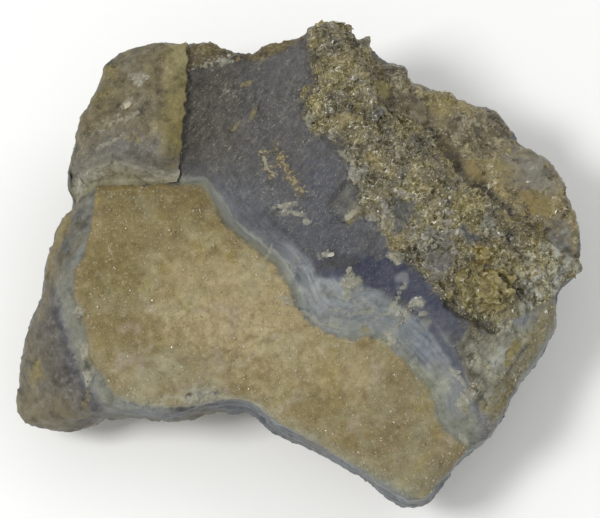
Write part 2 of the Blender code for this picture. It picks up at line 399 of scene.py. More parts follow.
# %% Marks
BRUISES = [
    # middle, radii, turn
    ((350, 284), (9, 14), 0), ((418, 303), (5, 6), 10), ((423, 314), (4, 3), 0),
    ((390, 340), (11, 6), 35), ((464, 400), (8, 10), 20), ((455, 374), (13, 3), 50),
    ((474, 364), (9, 4), 20), ((396, 257), (10, 6), 10), ((405, 315), (4, 18), 35),
    ((325, 255), (8, 4), -20), ((466, 441), (3, 9), -40), ((290, 300), (9, 5), 10),
    ((356, 172), (9, 8), 20), ((368, 218), (7, 4), 0), ((225, 61), (10, 5), -10),
    ((138, 78), (10, 7), 20), ((205, 400), (16, 7), 0), ((284, 206), (13, 3), -8),
    ((290, 213), (15, 3), 4), ((308, 222), (5, 3), 20), ((83, 352), (5, 9), 10),
    ((88, 378), (5, 8), -20), ((80, 312), (4, 6), 0), ((424, 245), (8, 10), 40),
    ((445, 222), (7, 4), 10), ((486, 224), (6, 10), 40), ((492, 236), (9, 4), -10),
    ((404, 194), (14, 3), 10), ((384, 216), (3, 14), 10), ((458, 232), (6, 3), 20),
    ((93, 172), (5, 12), 70), ((80, 184), (6, 14), 10), ((160, 168), (12, 3), 20),
    ((125, 105), (3, 12), 40), ((343, 24), (6, 4), 20), ((356, 34), (8, 3), 30),
    ((310, 118), (4, 7), 20), ((332, 135), (4, 4), 0),
]
SCRATCHES = [
    # each row is one line
    [(190, 69), (203, 66), (216, 63), (234, 55)], [(263, 153), (265, 163), (274, 176)],
    [(338, 152), (352, 160), (361, 178)], [(262, 268), (266, 258), (272, 245)],
    [(100, 130), (112, 122), (128, 118), (140, 112)], [(96, 146), (108, 140), (122, 133)],
    [(366, 322), (388, 313), (398, 296), (404, 284)], [(330, 308), (352, 314), (372, 312)],
    [(452, 108), (468, 120), (486, 128)], [(300, 309), (318, 322), (342, 328)],
]
IRON = [
    # middle, radii, turn
    ((478, 288), (34, 23), 10), ((514, 350), (5, 15), 25), ((350, 221), (7, 4), 0),
    ((359, 104), (12, 7), 20), ((380, 86), (17, 11), 30), ((133, 137), (7, 5), 20),
    ((365, 330), (5, 4), 0), ((86, 402), (3, 12), 5), ((37, 370), (5, 12), 10),
    ((538, 206), (15, 15), 0), ((500, 170), (24, 10), 30), ((442, 108), (14, 8), 20),
    ((254, 112), (3, 8), 35), ((235, 128), (2, 8), 30), ((246, 84), (7, 2), -30),
    ((170, 402), (12, 4), 5), ((467, 408), (5, 6), 0), ((480, 262), (12, 14), 20),
    ((452, 196), (16, 8), 40), ((425, 388), (3, 12), -30), ((62, 228), (6, 18), 20),
    ((108, 72), (10, 6), -30), ((176, 120), (7, 34), 4), ((100, 96), (9, 5), -30),
]
RUST = [
    # each row is one line
    [(263, 155), (266, 165), (273, 175)], [(277, 150), (284, 164), (290, 177), (303, 193)],
    [(284, 168), (294, 178), (298, 190)], [(500, 408), (512, 388), (524, 372)],
]
CRESCENT = [(361, 184), (363, 196), (358, 209), (347, 217)]   # the pale sharp rim of the hollow
SPREAD = 1.35                 # how far a mark's faint edge reaches past its drawn size


def marks_of(table, ragged):
    """The strongest field of a table of ovals, each drawn a little wider than its row says."""
    return most(blob(middle, (wide * SPREAD, high * SPREAD), turn, ragged)
                for middle, (wide, high), turn in table)


crescent = stroke(CRESCENT, 0.6, 0.1)
bruise = marks_of(BRUISES, 0.25)
scratch = most([stroke(line, 0.5, 0.3) for line in SCRATCHES] + [crescent + 0.3])
iron = marks_of(IRON, 0.3)
rust = most(stroke(line, 1.2, 0.4) for line in RUST)
print(len(BRUISES), "bruises and", len(IRON), "iron stains")

# %% [markdown]
# ## Relief
# The druse is a sugar of tiny crystals, so its grain is shallow and even.  Chalcedony breaks in
# smooth shells, wall rock breaks rough along its layers, and the walls show ledges where one band
# has broken back further than the next.  Each number is how high, in millimetres, one kind of lump
# or chip stands.

# %% Relief of the zones
LAYER = 2.6                   # thickness in mm of the wall rock's broken layers
LEDGE = 2.4                   # thickness in mm of the bands that leave ledges in the walls
across_rock = from_line(TERRACE) + 1.1 * lump_8 + 0.5 * lump_3
layers = np.abs((across_rock / LAYER) % 1.0 - 0.3)
botryoidal = smooth(-0.4, 0.5, lump_20 + 0.02 * (py - 330))
heights = on_druse * (0.05 * chip_1 + 0.04 * lump_half
                      + 0.10 * botryoidal * np.sqrt(crease_2) + 0.06 * lump_3)
heights += on_slate * (0.10 * lump_8 + 0.07 * lump_3 + 0.03 * lump_1 + 0.05 * chip_1)
heights += on_rock * (0.22 * chip_6 + 0.32 * chip_2 + 0.32 * chip_1 + 0.05 * lump_half + 0.5 * layers)
heights -= calm * (0.15 * chip_2 + 0.20 * chip_1)
heights += on_crust * (0.25 * chip_2 + 0.08 * chip_1)
heights += on_rock * (0.9 * smooth(0.3, -0.2, past_terrace) * smooth(-8.0, 0.0, past_terrace))
fall = smooth(5.0, 0.5, past_terrace)
heights -= on_glassy * (0.9 * fall + 0.10 * chip_2 + 0.15 * chip_1 + 0.3 * layers)
heights += on_glassy * (0.35 * lump_3 + 0.35 * lump_8)
heights += on_shoulder * (0.10 * chip_6 + 0.10 * chip_2 + 0.06 * chip_1)
heights += on_flank * (0.25 * chip_6 + 0.16 * chip_2 + 0.08 * chip_1)
heights += on_facet * (0.12 * chip_6 + 0.18 * chip_2 + 0.14 * chip_1)
ledges = np.abs(((depth + 0.5 * lump_8) / LEDGE) % 1.0 - 0.5) * 2.0
low_wall = (0.45 + 0.55 * smooth(6.0, 11.0, depth)) * (1.0 - 0.6 * smooth(130, 60, px))
low_wall = low_wall * (1.0 - 0.5 * smooth(-0.3, -0.8, outward[:, 1]))
stepped = 0.4 * (ledges - 0.5) * (1 - underside)
heights += on_wall * foot * low_wall * (0.9 * chip_6 + 0.45 * chip_2 + stepped)
heights += on_wall * foot * 0.16 * chip_1
print("grain and ledges up to", round(float(np.abs(heights).max()), 2), "mm")

# %% [markdown]
# The druse crust stands a little over the band beside it, and the shoulder's right edge is a sharp
# break.  The solid's steps are soft, so here each gets the difference to a sharp one.  The rim is
# then nudged out or back where small pieces still stand or have broken off.

# %% Sharp edges and the broken rim
CRUST_RISE = 0.25             # how far the druse crust stands over the band beside it
sharper = smooth(-0.3, 0.15, druse + 0.2 * lump_1) - smooth(-1.2, 1.2, druse)
heights += CRUST_RISE * sharper * face * (1 - on_flank)
SHOULDER_EDGE = [(187, 44), (187, 70), (185, 110), (179, 150), (178, 172)]
STEP = 1.4                    # what the shoulder's broken right edge adds to the solid's soft step
sharper = smooth(-0.25, 0.25, shoulder + 0.25 * lump_1) - smooth(-2.0, 2.0, shoulder)
heights += STEP * sharper * smooth(3.5, 1.0, from_line(SHOULDER_EDGE)) * face

NUDGES = [
    # middle, radii, and how many mm the broken rim stands out or back there
    ((156, 41), (17, 10), 0.4), ((202, 43), (18, 10), 0.4), ((240, 50), (10, 9), -0.1),
    ((273, 45), (11, 9), -0.2), ((316, 22), (9, 9), -0.5), ((343, 20), (11, 9), -1.6),
    ((360, 32), (12, 11), -2.4), ((373, 46), (8, 9), -0.1), ((400, 68), (18, 12), 0.8),
    ((428, 88), (20, 12), 0.7), ((98, 80), (10, 14), -0.4), ((76, 138), (9, 22), -0.4),
    ((70, 204), (8, 12), -0.4), ((34, 300), (9, 40), -0.2), ((18, 404), (9, 14), -0.6),
    ((24, 428), (10, 9), 3.0), ((355, 480), (22, 9), -0.5),
]
for middle, radii, rise in NUDGES:
    heights += rise * smooth(0.0, 0.6, blob(middle, radii, 0, 0.0)) * smooth(15.0, 8.0, depth)
print(len(NUDGES), "places along the rim moved")

# %% [markdown]
# A rust-stained lump stands on the wall rock over a dark cavity.  A shallow hollow with a sharp
# crescent rim lies where a shell of chalcedony has sprung off.

# %% Lump, cavity and hollow
LUMP_RISE = 2.0               # these are in mm
CAVITY = 1.2
HOLLOW = 0.6
CRESCENT_RISE = 0.35
BRUISE_RISE = 0.12
SCRATCH_DEPTH = 0.08
lump = blob((478, 288), (34, 23), 10, 0.35)
cavity = stroke([(449, 303), (463, 311), (480, 319), (494, 327)], 1.5)
hollow = blob((346, 202), (17, 24), 20, 0.1)
heights += smooth(0.0, 0.35, lump) * face * (LUMP_RISE + 0.15 * chip_6 - on_rock * 0.2 * (chip_2 + chip_1))
sunk = CRESCENT_RISE * smooth(0.2, 0.7, crescent) - HOLLOW * smooth(0.0, 0.4, hollow)
heights += (sunk - CAVITY * smooth(0.0, 0.8, cavity)) * face
heights += (BRUISE_RISE * smooth(0.2, 0.5, bruise) - SCRATCH_DEPTH * smooth(0.3, 0.8, scratch)) * face

SHOULDER_FRONT = [
    # where the shoulder runs into the druse
    (185, 184), (166, 186), (150, 183), (128, 175), (112, 173), (98, 177), (84, 190), (74, 206),
]
FRONT_DROP = 2.2              # how far the shoulder sinks to its front, where it runs into the druse
from_front = from_line(SHOULDER_FRONT)
drop = FRONT_DROP * smooth(11.0, 1.0, from_front) * smooth(-1.0, 1.5, shoulder) * face
moved = places + outward * (heights * MM)[:, None]
moved[:, 2] -= drop * MM
stone.data.vertices.foreach_set("co", moved.ravel())
stone.data.update()
print("relief from", round(float(heights.min()), 2), "to", round(float(heights.max()), 2), "mm")

# %% [markdown]
# ## Stains
# The broad colours are laid on the skin's corners, one over another, as washes: each is a colour and
# how far it covers.  What is finer than a face is left to the material's nodes.  A wash fades between
# two dots of the view or two distances in millimetres, and lumps shake its edge.

# %% Washes
BARE_STONE = "#4f4c46"


def linear(code):
    """An sRGB hex colour as linear numbers with alpha 1."""
    parts = [int(code[i:i + 2], 16) / 255 for i in (1, 3, 5)]
    return tuple(c / 12.92 if c <= 0.04045 else ((c + 0.055) / 1.055) ** 2.4 for c in parts) + (1.0,)


def wash(code, cover):
    """Lay a colour over the stain; cover is 0 to 1 for each corner."""
    cover = np.clip(cover, 0.0, 1.0)[:, None]
    stain[:] = stain * (1.0 - cover) + np.array(linear(code)) * cover


def patches(zone, table):
    """Wash ovals over a zone; a row is colour, strength, middle, radii, turn and raggedness."""
    for code, strength, *oval in table:
        wash(code, strength * zone * blob(*oval))


def streaks(zone, table):
    """Wash lines over a zone; a row is colour, strength, the line, its width and raggedness."""
    for code, strength, *line in table:
        wash(code, strength * zone * stroke(*line))


stain = np.tile(linear(BARE_STONE), (len(spots), 1))
print("stain laid on", len(stain), "corners")

# %% [markdown]
# The slate-blue fracture face is charcoal brown at the back left and bluer and paler towards the bands.
# Beside the shoulder's step it is darkest, with painted shade.  A brown crust lies along its back edge.

# %% Washes of the slate face
wash("#3f3c35", smooth(330, 190, px + 12 * lump_3) * smooth(215, 100, py))
wash("#454547", smooth(130, 215, py + 10 * lump_3))
wash("#484a52", 1.1 * blob((248, 212), (62, 36), 48, 0.1))
wash("#3a3c45", 1.3 * blob((312, 240), (62, 34), 12, 0.1))
wash("#56503c", smooth(0.3, 1.2, lump_3 + 0.6 * lump_1) * smooth(280, 70, py) * 0.35)
wash("#51452a", on_crust)
wash("#3a3122", on_crust * smooth(0.0, 0.9, -lump_3 + lump_1))
wash("#37352e", 1.5 * blob((301, 95), (9, 5), 20))
# painted shade: the darkest slate, at the foot of the shoulder's broken right edge
wash("#34312b", 0.8 * on_slate * blob((204, 82), (13, 22), 0, 0.4))
wash("#45474f", 0.35 * on_slate * (1 - on_crust) * smooth(225, 260, px))
wash("#434655", 0.6 * on_slate * blob((322, 185), (34, 60), 5, 0.6))
wash("#5a594f", 0.9 * blob((346, 200), (14, 19), 20, 0.8))
wash("#a39f8a", 1.6 * smooth(0.0, 0.5, crescent) * face)
tell("slate face", on_slate)

# %% [markdown]
# The druse is quartz stained tan by iron, browner at the right and pale in the middle.  Along its back
# edge, at the foot of the shoulder, it is darkened with painted shade.

# %% Washes of the druse
tan = smooth(-0.5, 0.5, druse + 0.35 * lump_1) * face
wash("#7d6f48", tan)
wash("#6e6033", 1.4 * tan * blob((108, 278), (46, 40)))
# painted shade along the druse's back edge, at the foot of the shoulder
wash("#6b5d36", 0.9 * tan * smooth(235, 185, py + 8 * lump_3))
patches(tan, [
    ("#9f916b", 1.7, (250, 320), (125, 78), 20, 0.25), ("#8b8263", 1.5, (170, 375), (75, 36), 5, 0.3),
    ("#998c69", 1.4, (345, 370), (60, 38), 15, 0.3),
])
wash("#7d7254", tan * smooth(355, 430, px + 0.3 * (py - 400) + 15 * lump_3))
wash("#887a42", tan * smooth(0.25, 1.1, lump_3 + 0.5 * lump_8) * 0.55)
rosy = smooth(0.35, 1.1, lump_3 - 0.6 * lump_8 + 0.3 * lump_1)
wash("#9b8f82", tan * rosy * 0.45 * smooth(250, 320, py))
wash("#6c6046", tan * smooth(0.4, 1.2, -lump_3 + 0.3 * lump_1) * 0.35)
wash("#97978f", 2.0 * blob((205, 396), (18, 8), 0, 0.5) * face)
tell("tan druse", tan)

# %% [markdown]
# Along the near edge the druse is thin and worn, and the pale bands show through it and under it.

# %% Washes of the near edge
NEAR_EDGE = [
    # where the druse ends over the near wall
    (92, 390), (116, 398), (158, 408), (179, 405), (189, 394), (214, 391), (233, 406), (255, 410),
    (293, 431), (336, 456), (366, 472), (400, 492), (427, 503), (440, 490),
]
PALE_EDGE = [(164, 402), (190, 400), (214, 398), (238, 403), (256, 410)]
near_edge = from_line(NEAR_EDGE) + 0.5 * lump_1 + 0.4 * lump_3
wash("#8a8a78", 0.65 * tan * smooth(2.6, -0.2, near_edge))
wash("#a39e88", 1.5 * face * stroke(PALE_EDGE, 1.3, 0.4))
under_druse = smooth(0.6, -0.4, druse + 0.3 * lump_3) * smooth(4.5, 2.5, near_edge)
wash("#7d8079", 0.9 * face * under_druse * smooth(30, 50, np.abs(px - NOTCH)))
tell("near edge", smooth(2.6, -0.2, near_edge))

# %% [markdown]
# The wall rock is clear quartz stained in patches from gold to brown, and grey where it is clean.
# Past the terrace it is glassier, with few sparkles.

# %% Washes of the wall rock
wash("#6a634b", on_rock)
wash("#8b7e55", on_rock * smooth(-0.1, 0.8, lump_3 + 0.5 * lump_8 + 0.3 * lump_1) * 0.8)
wash("#4c463a", on_rock * smooth(0.3, 1.1, -lump_3 + 0.5 * lump_1) * 0.6)
wash("#5d6063", on_rock * smooth(0.4, 1.1, lump_8 - 0.6 * lump_3 + 0.4 * lump_1) * 0.6)
wash("#6a6048", on_glassy)
wash("#857649", on_glassy * smooth(-0.1, 0.9, lump_8 + 0.6 * lump_3))
# painted shade: the dark band at the foot of the terrace's step
wash("#4d4433", 1.2 * on_glassy * smooth(3.2, 1.2, past_terrace + 0.6 * lump_3))
wash("#4c4436", 1.1 * on_glassy * stroke([(384, 72), (404, 84), (430, 98)], 2.6, 0.5))
patches(on_rock, [
    ("#968749", 1.8, (383, 87), (12, 10), 30, 0.5), ("#968b68", 1.6, (487, 129), (20, 9), 40, 0.5),
    ("#9a8b50", 1.8, (445, 106), (12, 8), 20, 0.5), ("#7b776b", 1.8, (532, 174), (36, 24), 35, 0.4),
    ("#6d6a63", 1.6, (563, 242), (14, 30), -15, 0.4), ("#7e6b40", 1.4, (532, 202), (18, 18), 0, 0.8),
    ("#77756c", 1.3, (440, 238), (24, 34), -20, 0.8), ("#9d9e92", 1.5, (546, 280), (24, 44), 10, 0.9),
    ("#55544f", 1.6, (402, 214), (24, 26), 20, 0.5), ("#4f5051", 1.6, (467, 235), (17, 7), 42, 0.5),
    ("#a5a698", 1.6, (488, 225), (10, 10), 0, 0.5), ("#6b6865", 1.5, (440, 266), (16, 18), 0, 0.4),
])
wash("#4d4638", 1.5 * on_rock * blob((340, 62), (32, 34), 0, 0.8) * smooth(0.1, -0.6, lump_3))

DEEPER = 1.1                  # how much the stain's patches are deepened
rock_tone = stain[on_rock > 0.5].mean(axis=0)
stain += (DEEPER - 1.0) * on_rock[:, None] * (stain - rock_tone)
stain = np.clip(stain, 0.0, 1.0)
print("wall rock's mean colour", [round(float(part), 3) for part in rock_tone[:3]])

# %% [markdown]
# The raised shoulder is the same vein seen through a film of olive-brown, thinner and greyer to the
# front, where the pale bands come out under it.

# %% Washes of the shoulder
wash("#61583f", on_shoulder)
wash("#5d594c", on_shoulder * smooth(0.0, 0.9, lump_8 + 0.4 * lump_3))
wash("#5c5952", 1.6 * on_shoulder * blob((128, 150), (56, 26), 0, 0.4))
wash("#7d7353", on_shoulder * smooth(0.2, 1.0, lump_3 + 0.5 * lump_1) * 0.7)
wash("#4f4735", on_shoulder * smooth(0.3, 1.1, -lump_3 + 0.4 * lump_1) * 0.7)
# painted light: the ochre strip along the shoulder's broken right edge is lightened as if lit
wash("#787049", 0.9 * on_shoulder * smooth(4.2, 3.0, from_line(SHOULDER_EDGE) + 0.5 * lump_1))
wash("#85806f", 1.8 * on_shoulder * blob((79, 178), (14, 22), 0, 0.4))
wash("#807d6a", 1.2 * on_shoulder * smooth(3.4, 1.4, from_front + 0.4 * lump_1 + 0.5 * lump_3))
wash("#928d78", 1.4 * on_shoulder * blob((160, 173), (24, 9), 5, 0.4))
tell("shoulder", on_shoulder)

# %% [markdown]
# The lace is pale chalcedony in fine bands round the druse, with a clear dark blue lens beside it.
# Pale chips have sprung off it here and there.

# %% Washes of the lace
on_lace = smooth(-0.6, 0.8, lace + 0.5 * lump_3) * (1 - tan) * face
wash("#71767a", on_lace * smooth(262, 300, px + 8 * lump_3))
patches(on_lace, [
    ("#868b91", 1.5, (326, 292), (42, 26), 10, 0.2), ("#949aa0", 1.4, (322, 290), (16, 11), 10, 0.4),
    ("#999b92", 1.5, (362, 304), (24, 10), 10, 0.5), ("#646c78", 1.5, (416, 338), (44, 20), 50, 0.3),
])
wash("#7c7e6a", on_lace * smooth(392, 412, px) * smooth(-3.4, -0.8, druse + 0.6 * lump_3))
wash("#737364", on_lace * smooth(385, 425, py + 8 * lump_3))
wash("#5a5b57", 1.2 * on_lace * blob((372, 268), (24, 10), 10, 0.6))
stripe = stroke([(432, 326), (447, 350), (460, 368), (470, 385), (479, 406)], 0.9)
in_lens = smooth(-0.8, 0.8, navy + 0.5 * lump_1 + 0.6 * lump_3)
on_navy = np.maximum(in_lens, 0.8 * smooth(0.0, 0.7, stripe)) * face
wash("#2f3347", on_navy)
# painted shade where the lace steps down at the back of the lens
wash("#2b2c2e", 1.3 * stroke([(318, 268), (334, 264), (352, 262)], 1.5, 0.5) * face)
wash("#6a6d72", 1.8 * blob((402, 277), (12, 9), -40, 0.6) * face)
wash("#484b55", 0.8 * on_navy * smooth(300, 325, py + 5 * lump_3))
wash("#5f6166", 1.5 * blob((303, 270), (12, 12), 0, 0.4) * face)
wash("#92938a", 1.4 * stroke([(328, 318), (346, 327), (366, 330)], 1.4, 0.5) * (1 - tan) * face)
CHIPS = [
    # middle, radii and colour of the pale chips on the lace
    ((350, 283), (10, 11), "#8f9079"), ((347, 295), (5, 8), "#a3a48f"), ((417, 303), (7, 7), "#8a8d84"),
    ((396, 257), (10, 6), "#a29d7e"), ((445, 385), (9, 12), "#8f9180"), ((396, 311), (9, 7), "#8d8f80"),
    ((464, 399), (7, 9), "#9a977b"), ((385, 341), (9, 6), "#9a9678"),
]
for middle, radii, code in CHIPS:
    wash(code, 1.8 * blob(middle, radii, 20, 0.4) * face)
tell("lace", on_lace)

# %% [markdown]
# The low left flank is a brown weathered break across the bands.  At the right a pale facet slopes
# to the table, and the lump above it is crusted with yellow iron.

# %% Washes of the flank, the facet and the lump
wash("#5e594d", on_flank)
thin_edge = smooth(0.9, 0.2, np.abs(druse + 0.5) + 0.3 * lump_1)
wash("#777d7b", 0.8 * on_flank * thin_edge * smooth(300, 250, py))
wash("#4f493b", 0.5 * on_flank * smooth(270, 225, py + 5 * lump_3))
streaks(on_flank, [
    ("#7a6d47", 1.5, [(72, 206), (58, 232), (50, 262), (42, 294)], 1.8),
    ("#4d4c48", 1.5, [(80, 215), (72, 240), (64, 262)], 1.8),
])
patches(on_flank, [
    ("#575350", 1.2, (50, 320), (12, 34), 8, 0.6), ("#7c7252", 1.3, (37, 372), (11, 18), 10, 0.8),
])
wash("#6b6450", on_flank * smooth(380, 415, py) * smooth(85, 55, px))
wash("#45433c", 1.8 * on_flank * blob((89, 399), (7, 19), -10, 0.4))
wash("#838273", on_facet)
wash("#96957f", 0.7 * on_facet * smooth(-0.1, 0.8, lump_3 + 0.4 * lump_1))
patches(on_facet, [
    ("#75787b", 1.8, (517, 316), (22, 17), 10, 0.3), ("#57544c", 1.6, (480, 330), (22, 14), 40, 0.4),
    ("#9b9d92", 1.5, (499, 358), (11, 17), 20, 0.4), ("#77767b", 1.8, (480, 424), (14, 22), 30, 0.3),
])
streaks(on_facet, [
    ("#4f4c3e", 1.5, [(470, 330), (460, 345), (470, 372), (482, 400)], 1.8, 0.5),
    ("#7e7759", 1.2, [(552, 308), (532, 348), (508, 388), (492, 412)], 1.9, 0.8),
    ("#867e57", 1.1, [(519, 338), (512, 352), (506, 368)], 0.9, 0.5),
    # painted shade: the dark line below a small ridge of the facet
    ("#57534a", 1.3, [(527, 346), (515, 361), (503, 380)], 0.5, 0.3),
])
wash("#9c8f50", 2.5 * lump * face)
wash("#b09c56", 1.8 * stroke([(479, 252), (483, 270)], 1.5, 0.5) * face)
# painted shade on the lump's lower left side
wash("#544a2c", 1.5 * blob((466, 294), (15, 12), 20, 0.7) * face)
# painted highlight: a bright cream spot on the lump's lit right top
wash("#c4b884", 2.0 * blob((500, 289), (11, 12), 0, 0.6) * face)
# painted shade in the cavity under the lump
wash("#423e35", 1.2 * cavity * face)
wash("#86805f", 1.2 * stroke([(446, 284), (456, 298), (474, 312), (500, 321)], 0.7, 0.4) * face)
tell("flank", on_flank)
tell("facet", on_facet)

# %% [markdown]
# ## What the material reads
# Each zone is stored on the skin as a number from 0 to 1, with the distances that bands follow.

# %% Fields for the material
kept = []


def keep(name, values):
    """Store one number for each corner, for the material to read."""
    layer = stone.data.attributes.new(name, 'FLOAT', 'POINT')
    layer.data.foreach_set("value", values.astype(np.float32))
    kept.append(name)


RIM = [(187, 168), (205, 163), (213, 172), (230, 200), (255, 228), (282, 250), (296, 286)]
rock = on_rock + 0.4 * on_crust - 0.35 * on_glassy + 0.5 * smooth(0.0, 0.5, lump) - 0.5 * calm
rock = np.clip(rock + on_facet * smooth(-0.2, 0.8, lump_3 + 0.5 * lump_8) * 0.8, 0, 1)
left_dip = 7.0 * smooth(112, 60, px) * smooth(300, 380, py)    # mm the bands lie lower at the left
right_dip = 2.0 * smooth(455, 490, px) * smooth(250, 330, py)  # and at the right
by_rim = smooth(5.0, 2.0, from_line(RIM)) * (1 - on_shoulder) * face
by_rim = by_rim * (1.0 - 0.85 * smooth(-0.9, -2.0, druse) * smooth(232, 205, px) * smooth(205, 180, py))
pale = on_lace * (1 - on_navy)
keep("druse", druse)
keep("face", face)
keep("rock", np.clip(rock + 0.7 * smooth(9, 14, depth) * on_wall, 0, 1))
keep("depth", depth - left_dip - right_dip)
keep("glass", on_glassy * (1 - 0.5 * calm))
keep("pale", pale * smooth(280, 300, px))
keep("lace", pale * smooth(290, 310, px) * (1 - 0.6 * smooth(372, 400, px)))
keep("flank", on_flank * (0.3 + 0.7 * smooth(255, 300, py)))
keep("side", on_flank)
keep("front", from_front)
keep("balls", on_druse * np.clip(1.6 * blob((250, 345), (130, 70), 15, 0.1), 0.0, 1.0))
keep("film", on_shoulder)
keep("waxy", np.clip(on_slate - on_crust + on_facet - 0.5 * on_navy - 0.4 * by_rim - 0.6 * on_lace, 0, 1))
keep("rim", by_rim)
for name, mark in (("bruise", bruise), ("scratch", scratch), ("iron", iron), ("rust", rust)):
    keep(name, np.where(face > 0.3, mark, -1.0))
keep("gloss", np.zeros(len(spots)))   # only the crystals that stand on the skin are glossy
colour = stone.data.attributes.new("stain", 'FLOAT_COLOR', 'POINT')
colour.data.foreach_set("color", stain.astype(np.float32).ravel())
print(len(kept), "fields kept")

# %% [markdown]
# ## The stone's material
# Chalcedony is quartz grown in fibres too fine to see: waxy where it broke, sugary where it ended in
# crystals.  The corners' stain gives the broad colours.  The nodes add the grain, the bands of the
# walls and the sheen.

# %% Material
stuff = bpy.data.materials.new("banded_chalcedony_broken_and_sugary")
stuff.use_nodes = True
tree = stuff.node_tree
shader = tree.nodes["Principled BSDF"]


def add(kind, links=None, **settings):
    """Add a node, give it settings, and link or set its inputs by name or number."""
    node = tree.nodes.new(kind)
    for key, value in settings.items():
        setattr(node, key, value)
    for key, value in (links or {}).items():
        if isinstance(value, bpy.types.NodeSocket):
            tree.links.new(value, node.inputs[key])
        else:
            node.inputs[key].default_value = value
    return node


where = add("ShaderNodeTexCoord").outputs["Object"]
in_mm = add("ShaderNodeVectorMath", {0: where, "Scale": 1 / MM}, operation='SCALE').outputs[0]
field = {name: add("ShaderNodeAttribute", attribute_name=name).outputs[2] for name in kept}
print("the material reads", len(field), "fields")

# %% [markdown]
# Grain comes from noises whose lumps have the sizes that the stone's own grains, fibres and patches
# have, in millimetres.  The finest, sand, is drawn at 0.13 mm: the real one is finer, and would not
# show.  Streaks are the grain drawn out along the vein, so their place is turned and stretched.
# Layers and strata follow the bands, so theirs is the distance from the druse or the depth.

# %% Noises of the material
VEIN_TURN = radians(52)       # how far the vein's streaks are turned from x
STREAK_LENGTH = 4.0           # against their width
FLECK_TURN = radians(48)      # flecks lie a little less turned, and are shorter
FLECK_LENGTH = 2.6
SMEAR = 0.16                  # how slowly layers change along themselves
LUMP_SHARE = 0.5              # a lump's width as a share of the noise's period
drawn_out = {}
for name, turn, length in (("streak", VEIN_TURN, STREAK_LENGTH), ("fleck", FLECK_TURN, FLECK_LENGTH)):
    drawn_out[name] = add("ShaderNodeMapping", {"Vector": in_mm, "Rotation": (0.0, 0.0, turn),
                                                "Scale": (length, 1.0, 1.0)},
                          vector_type='TEXTURE').outputs[0]
smeared = add("ShaderNodeVectorMath", {0: in_mm, "Scale": SMEAR}, operation='SCALE').outputs[0]
for name, along in (("layer", "druse"), ("strata", "depth")):
    height = add("ShaderNodeCombineXYZ", {0: field[along], 1: field[along]}).outputs[0]
    place = add("ShaderNodeVectorMath", {0: smeared, 1: height}, operation='ADD').outputs[0]
    field[name + " place"] = place
NOISES = [
    # name, size of its lumps in mm, detail, roughness, swirl, where
    ("sand", 0.13, 2.0, 0.6, 0.0, in_mm), ("grit", 0.3, 3.0, 0.6, 0.0, in_mm),
    ("pebble", 0.9, 3.0, 0.6, 0.0, in_mm), ("mottle", 1.8, 3.0, 0.6, 0.0, in_mm),
    ("patch", 3.0, 3.0, 0.6, 0.3, in_mm), ("cloud", 6.0, 2.0, 0.5, 0.0, in_mm),
    ("streak", 0.3, 3.0, 0.65, 0.2, drawn_out["streak"]),
    ("fleck", 0.26, 2.0, 0.5, 2.0, drawn_out["fleck"]),
    ("curl", 1.0, 1.5, 0.5, 1.2, in_mm),
    ("layer", 0.35, 3.0, 0.6, 0.0, field["layer place"]),
    ("strata", 0.45, 3.0, 0.6, 0.0, field["strata place"]),
]
for name, size, detail, roughness, swirl, place in NOISES:
    field[name] = add("ShaderNodeTexNoise", {"Vector": place, "Scale": LUMP_SHARE / size,
                                             "Detail": detail, "Roughness": roughness,
                                             "Distortion": swirl}).outputs[0]
bent = add("ShaderNodeMath", {0: field["curl"], 1: 0.5}, operation='SUBTRACT').outputs[0]
field["thread"] = add("ShaderNodeMath", {0: bent}, operation='ABSOLUTE').outputs[0]
print(len(NOISES), "noises")

# %% [markdown]
# The sugar's crystals grow in little balls, and the wall rock breaks in small flats.  Both are cells,
# of 2.1 mm and 0.65 mm, in places that a noise has swirled, so that their edges are not straight.

# %% Cells
BALL = 2.1                    # widths in mm
FLAT = 0.65
SWIRL_SIZE = 1.0              # in mm, as for the noises
SWIRL = 4.0                   # how far it carries the cells, in mm
swirl = add("ShaderNodeTexNoise", {"Vector": in_mm, "Scale": LUMP_SHARE / SWIRL_SIZE, "Detail": 2.0})
swirled = add("ShaderNodeVectorMath", {0: swirl.outputs["Color"], 1: (SWIRL, SWIRL, SWIRL), 2: in_mm},
              operation='MULTIPLY_ADD').outputs[0]
cell = add("ShaderNodeTexVoronoi", {"Vector": swirled, "Scale": 1 / BALL}, feature='DISTANCE_TO_EDGE')
field["cell"] = cell.outputs[0]
flat_cell = add("ShaderNodeTexVoronoi", {"Vector": swirled, "Scale": 1 / FLAT}).outputs["Color"]
print("cells of", BALL, "and", FLAT, "mm")

# %% [markdown]
# Each band is a layer that the vein laid down in one spell of growth, so its colour depends only on
# how far it lies from the druse or below it.  A ramp over that distance draws a whole set of bands,
# and a noise shakes the distance, so that they run a little unevenly.

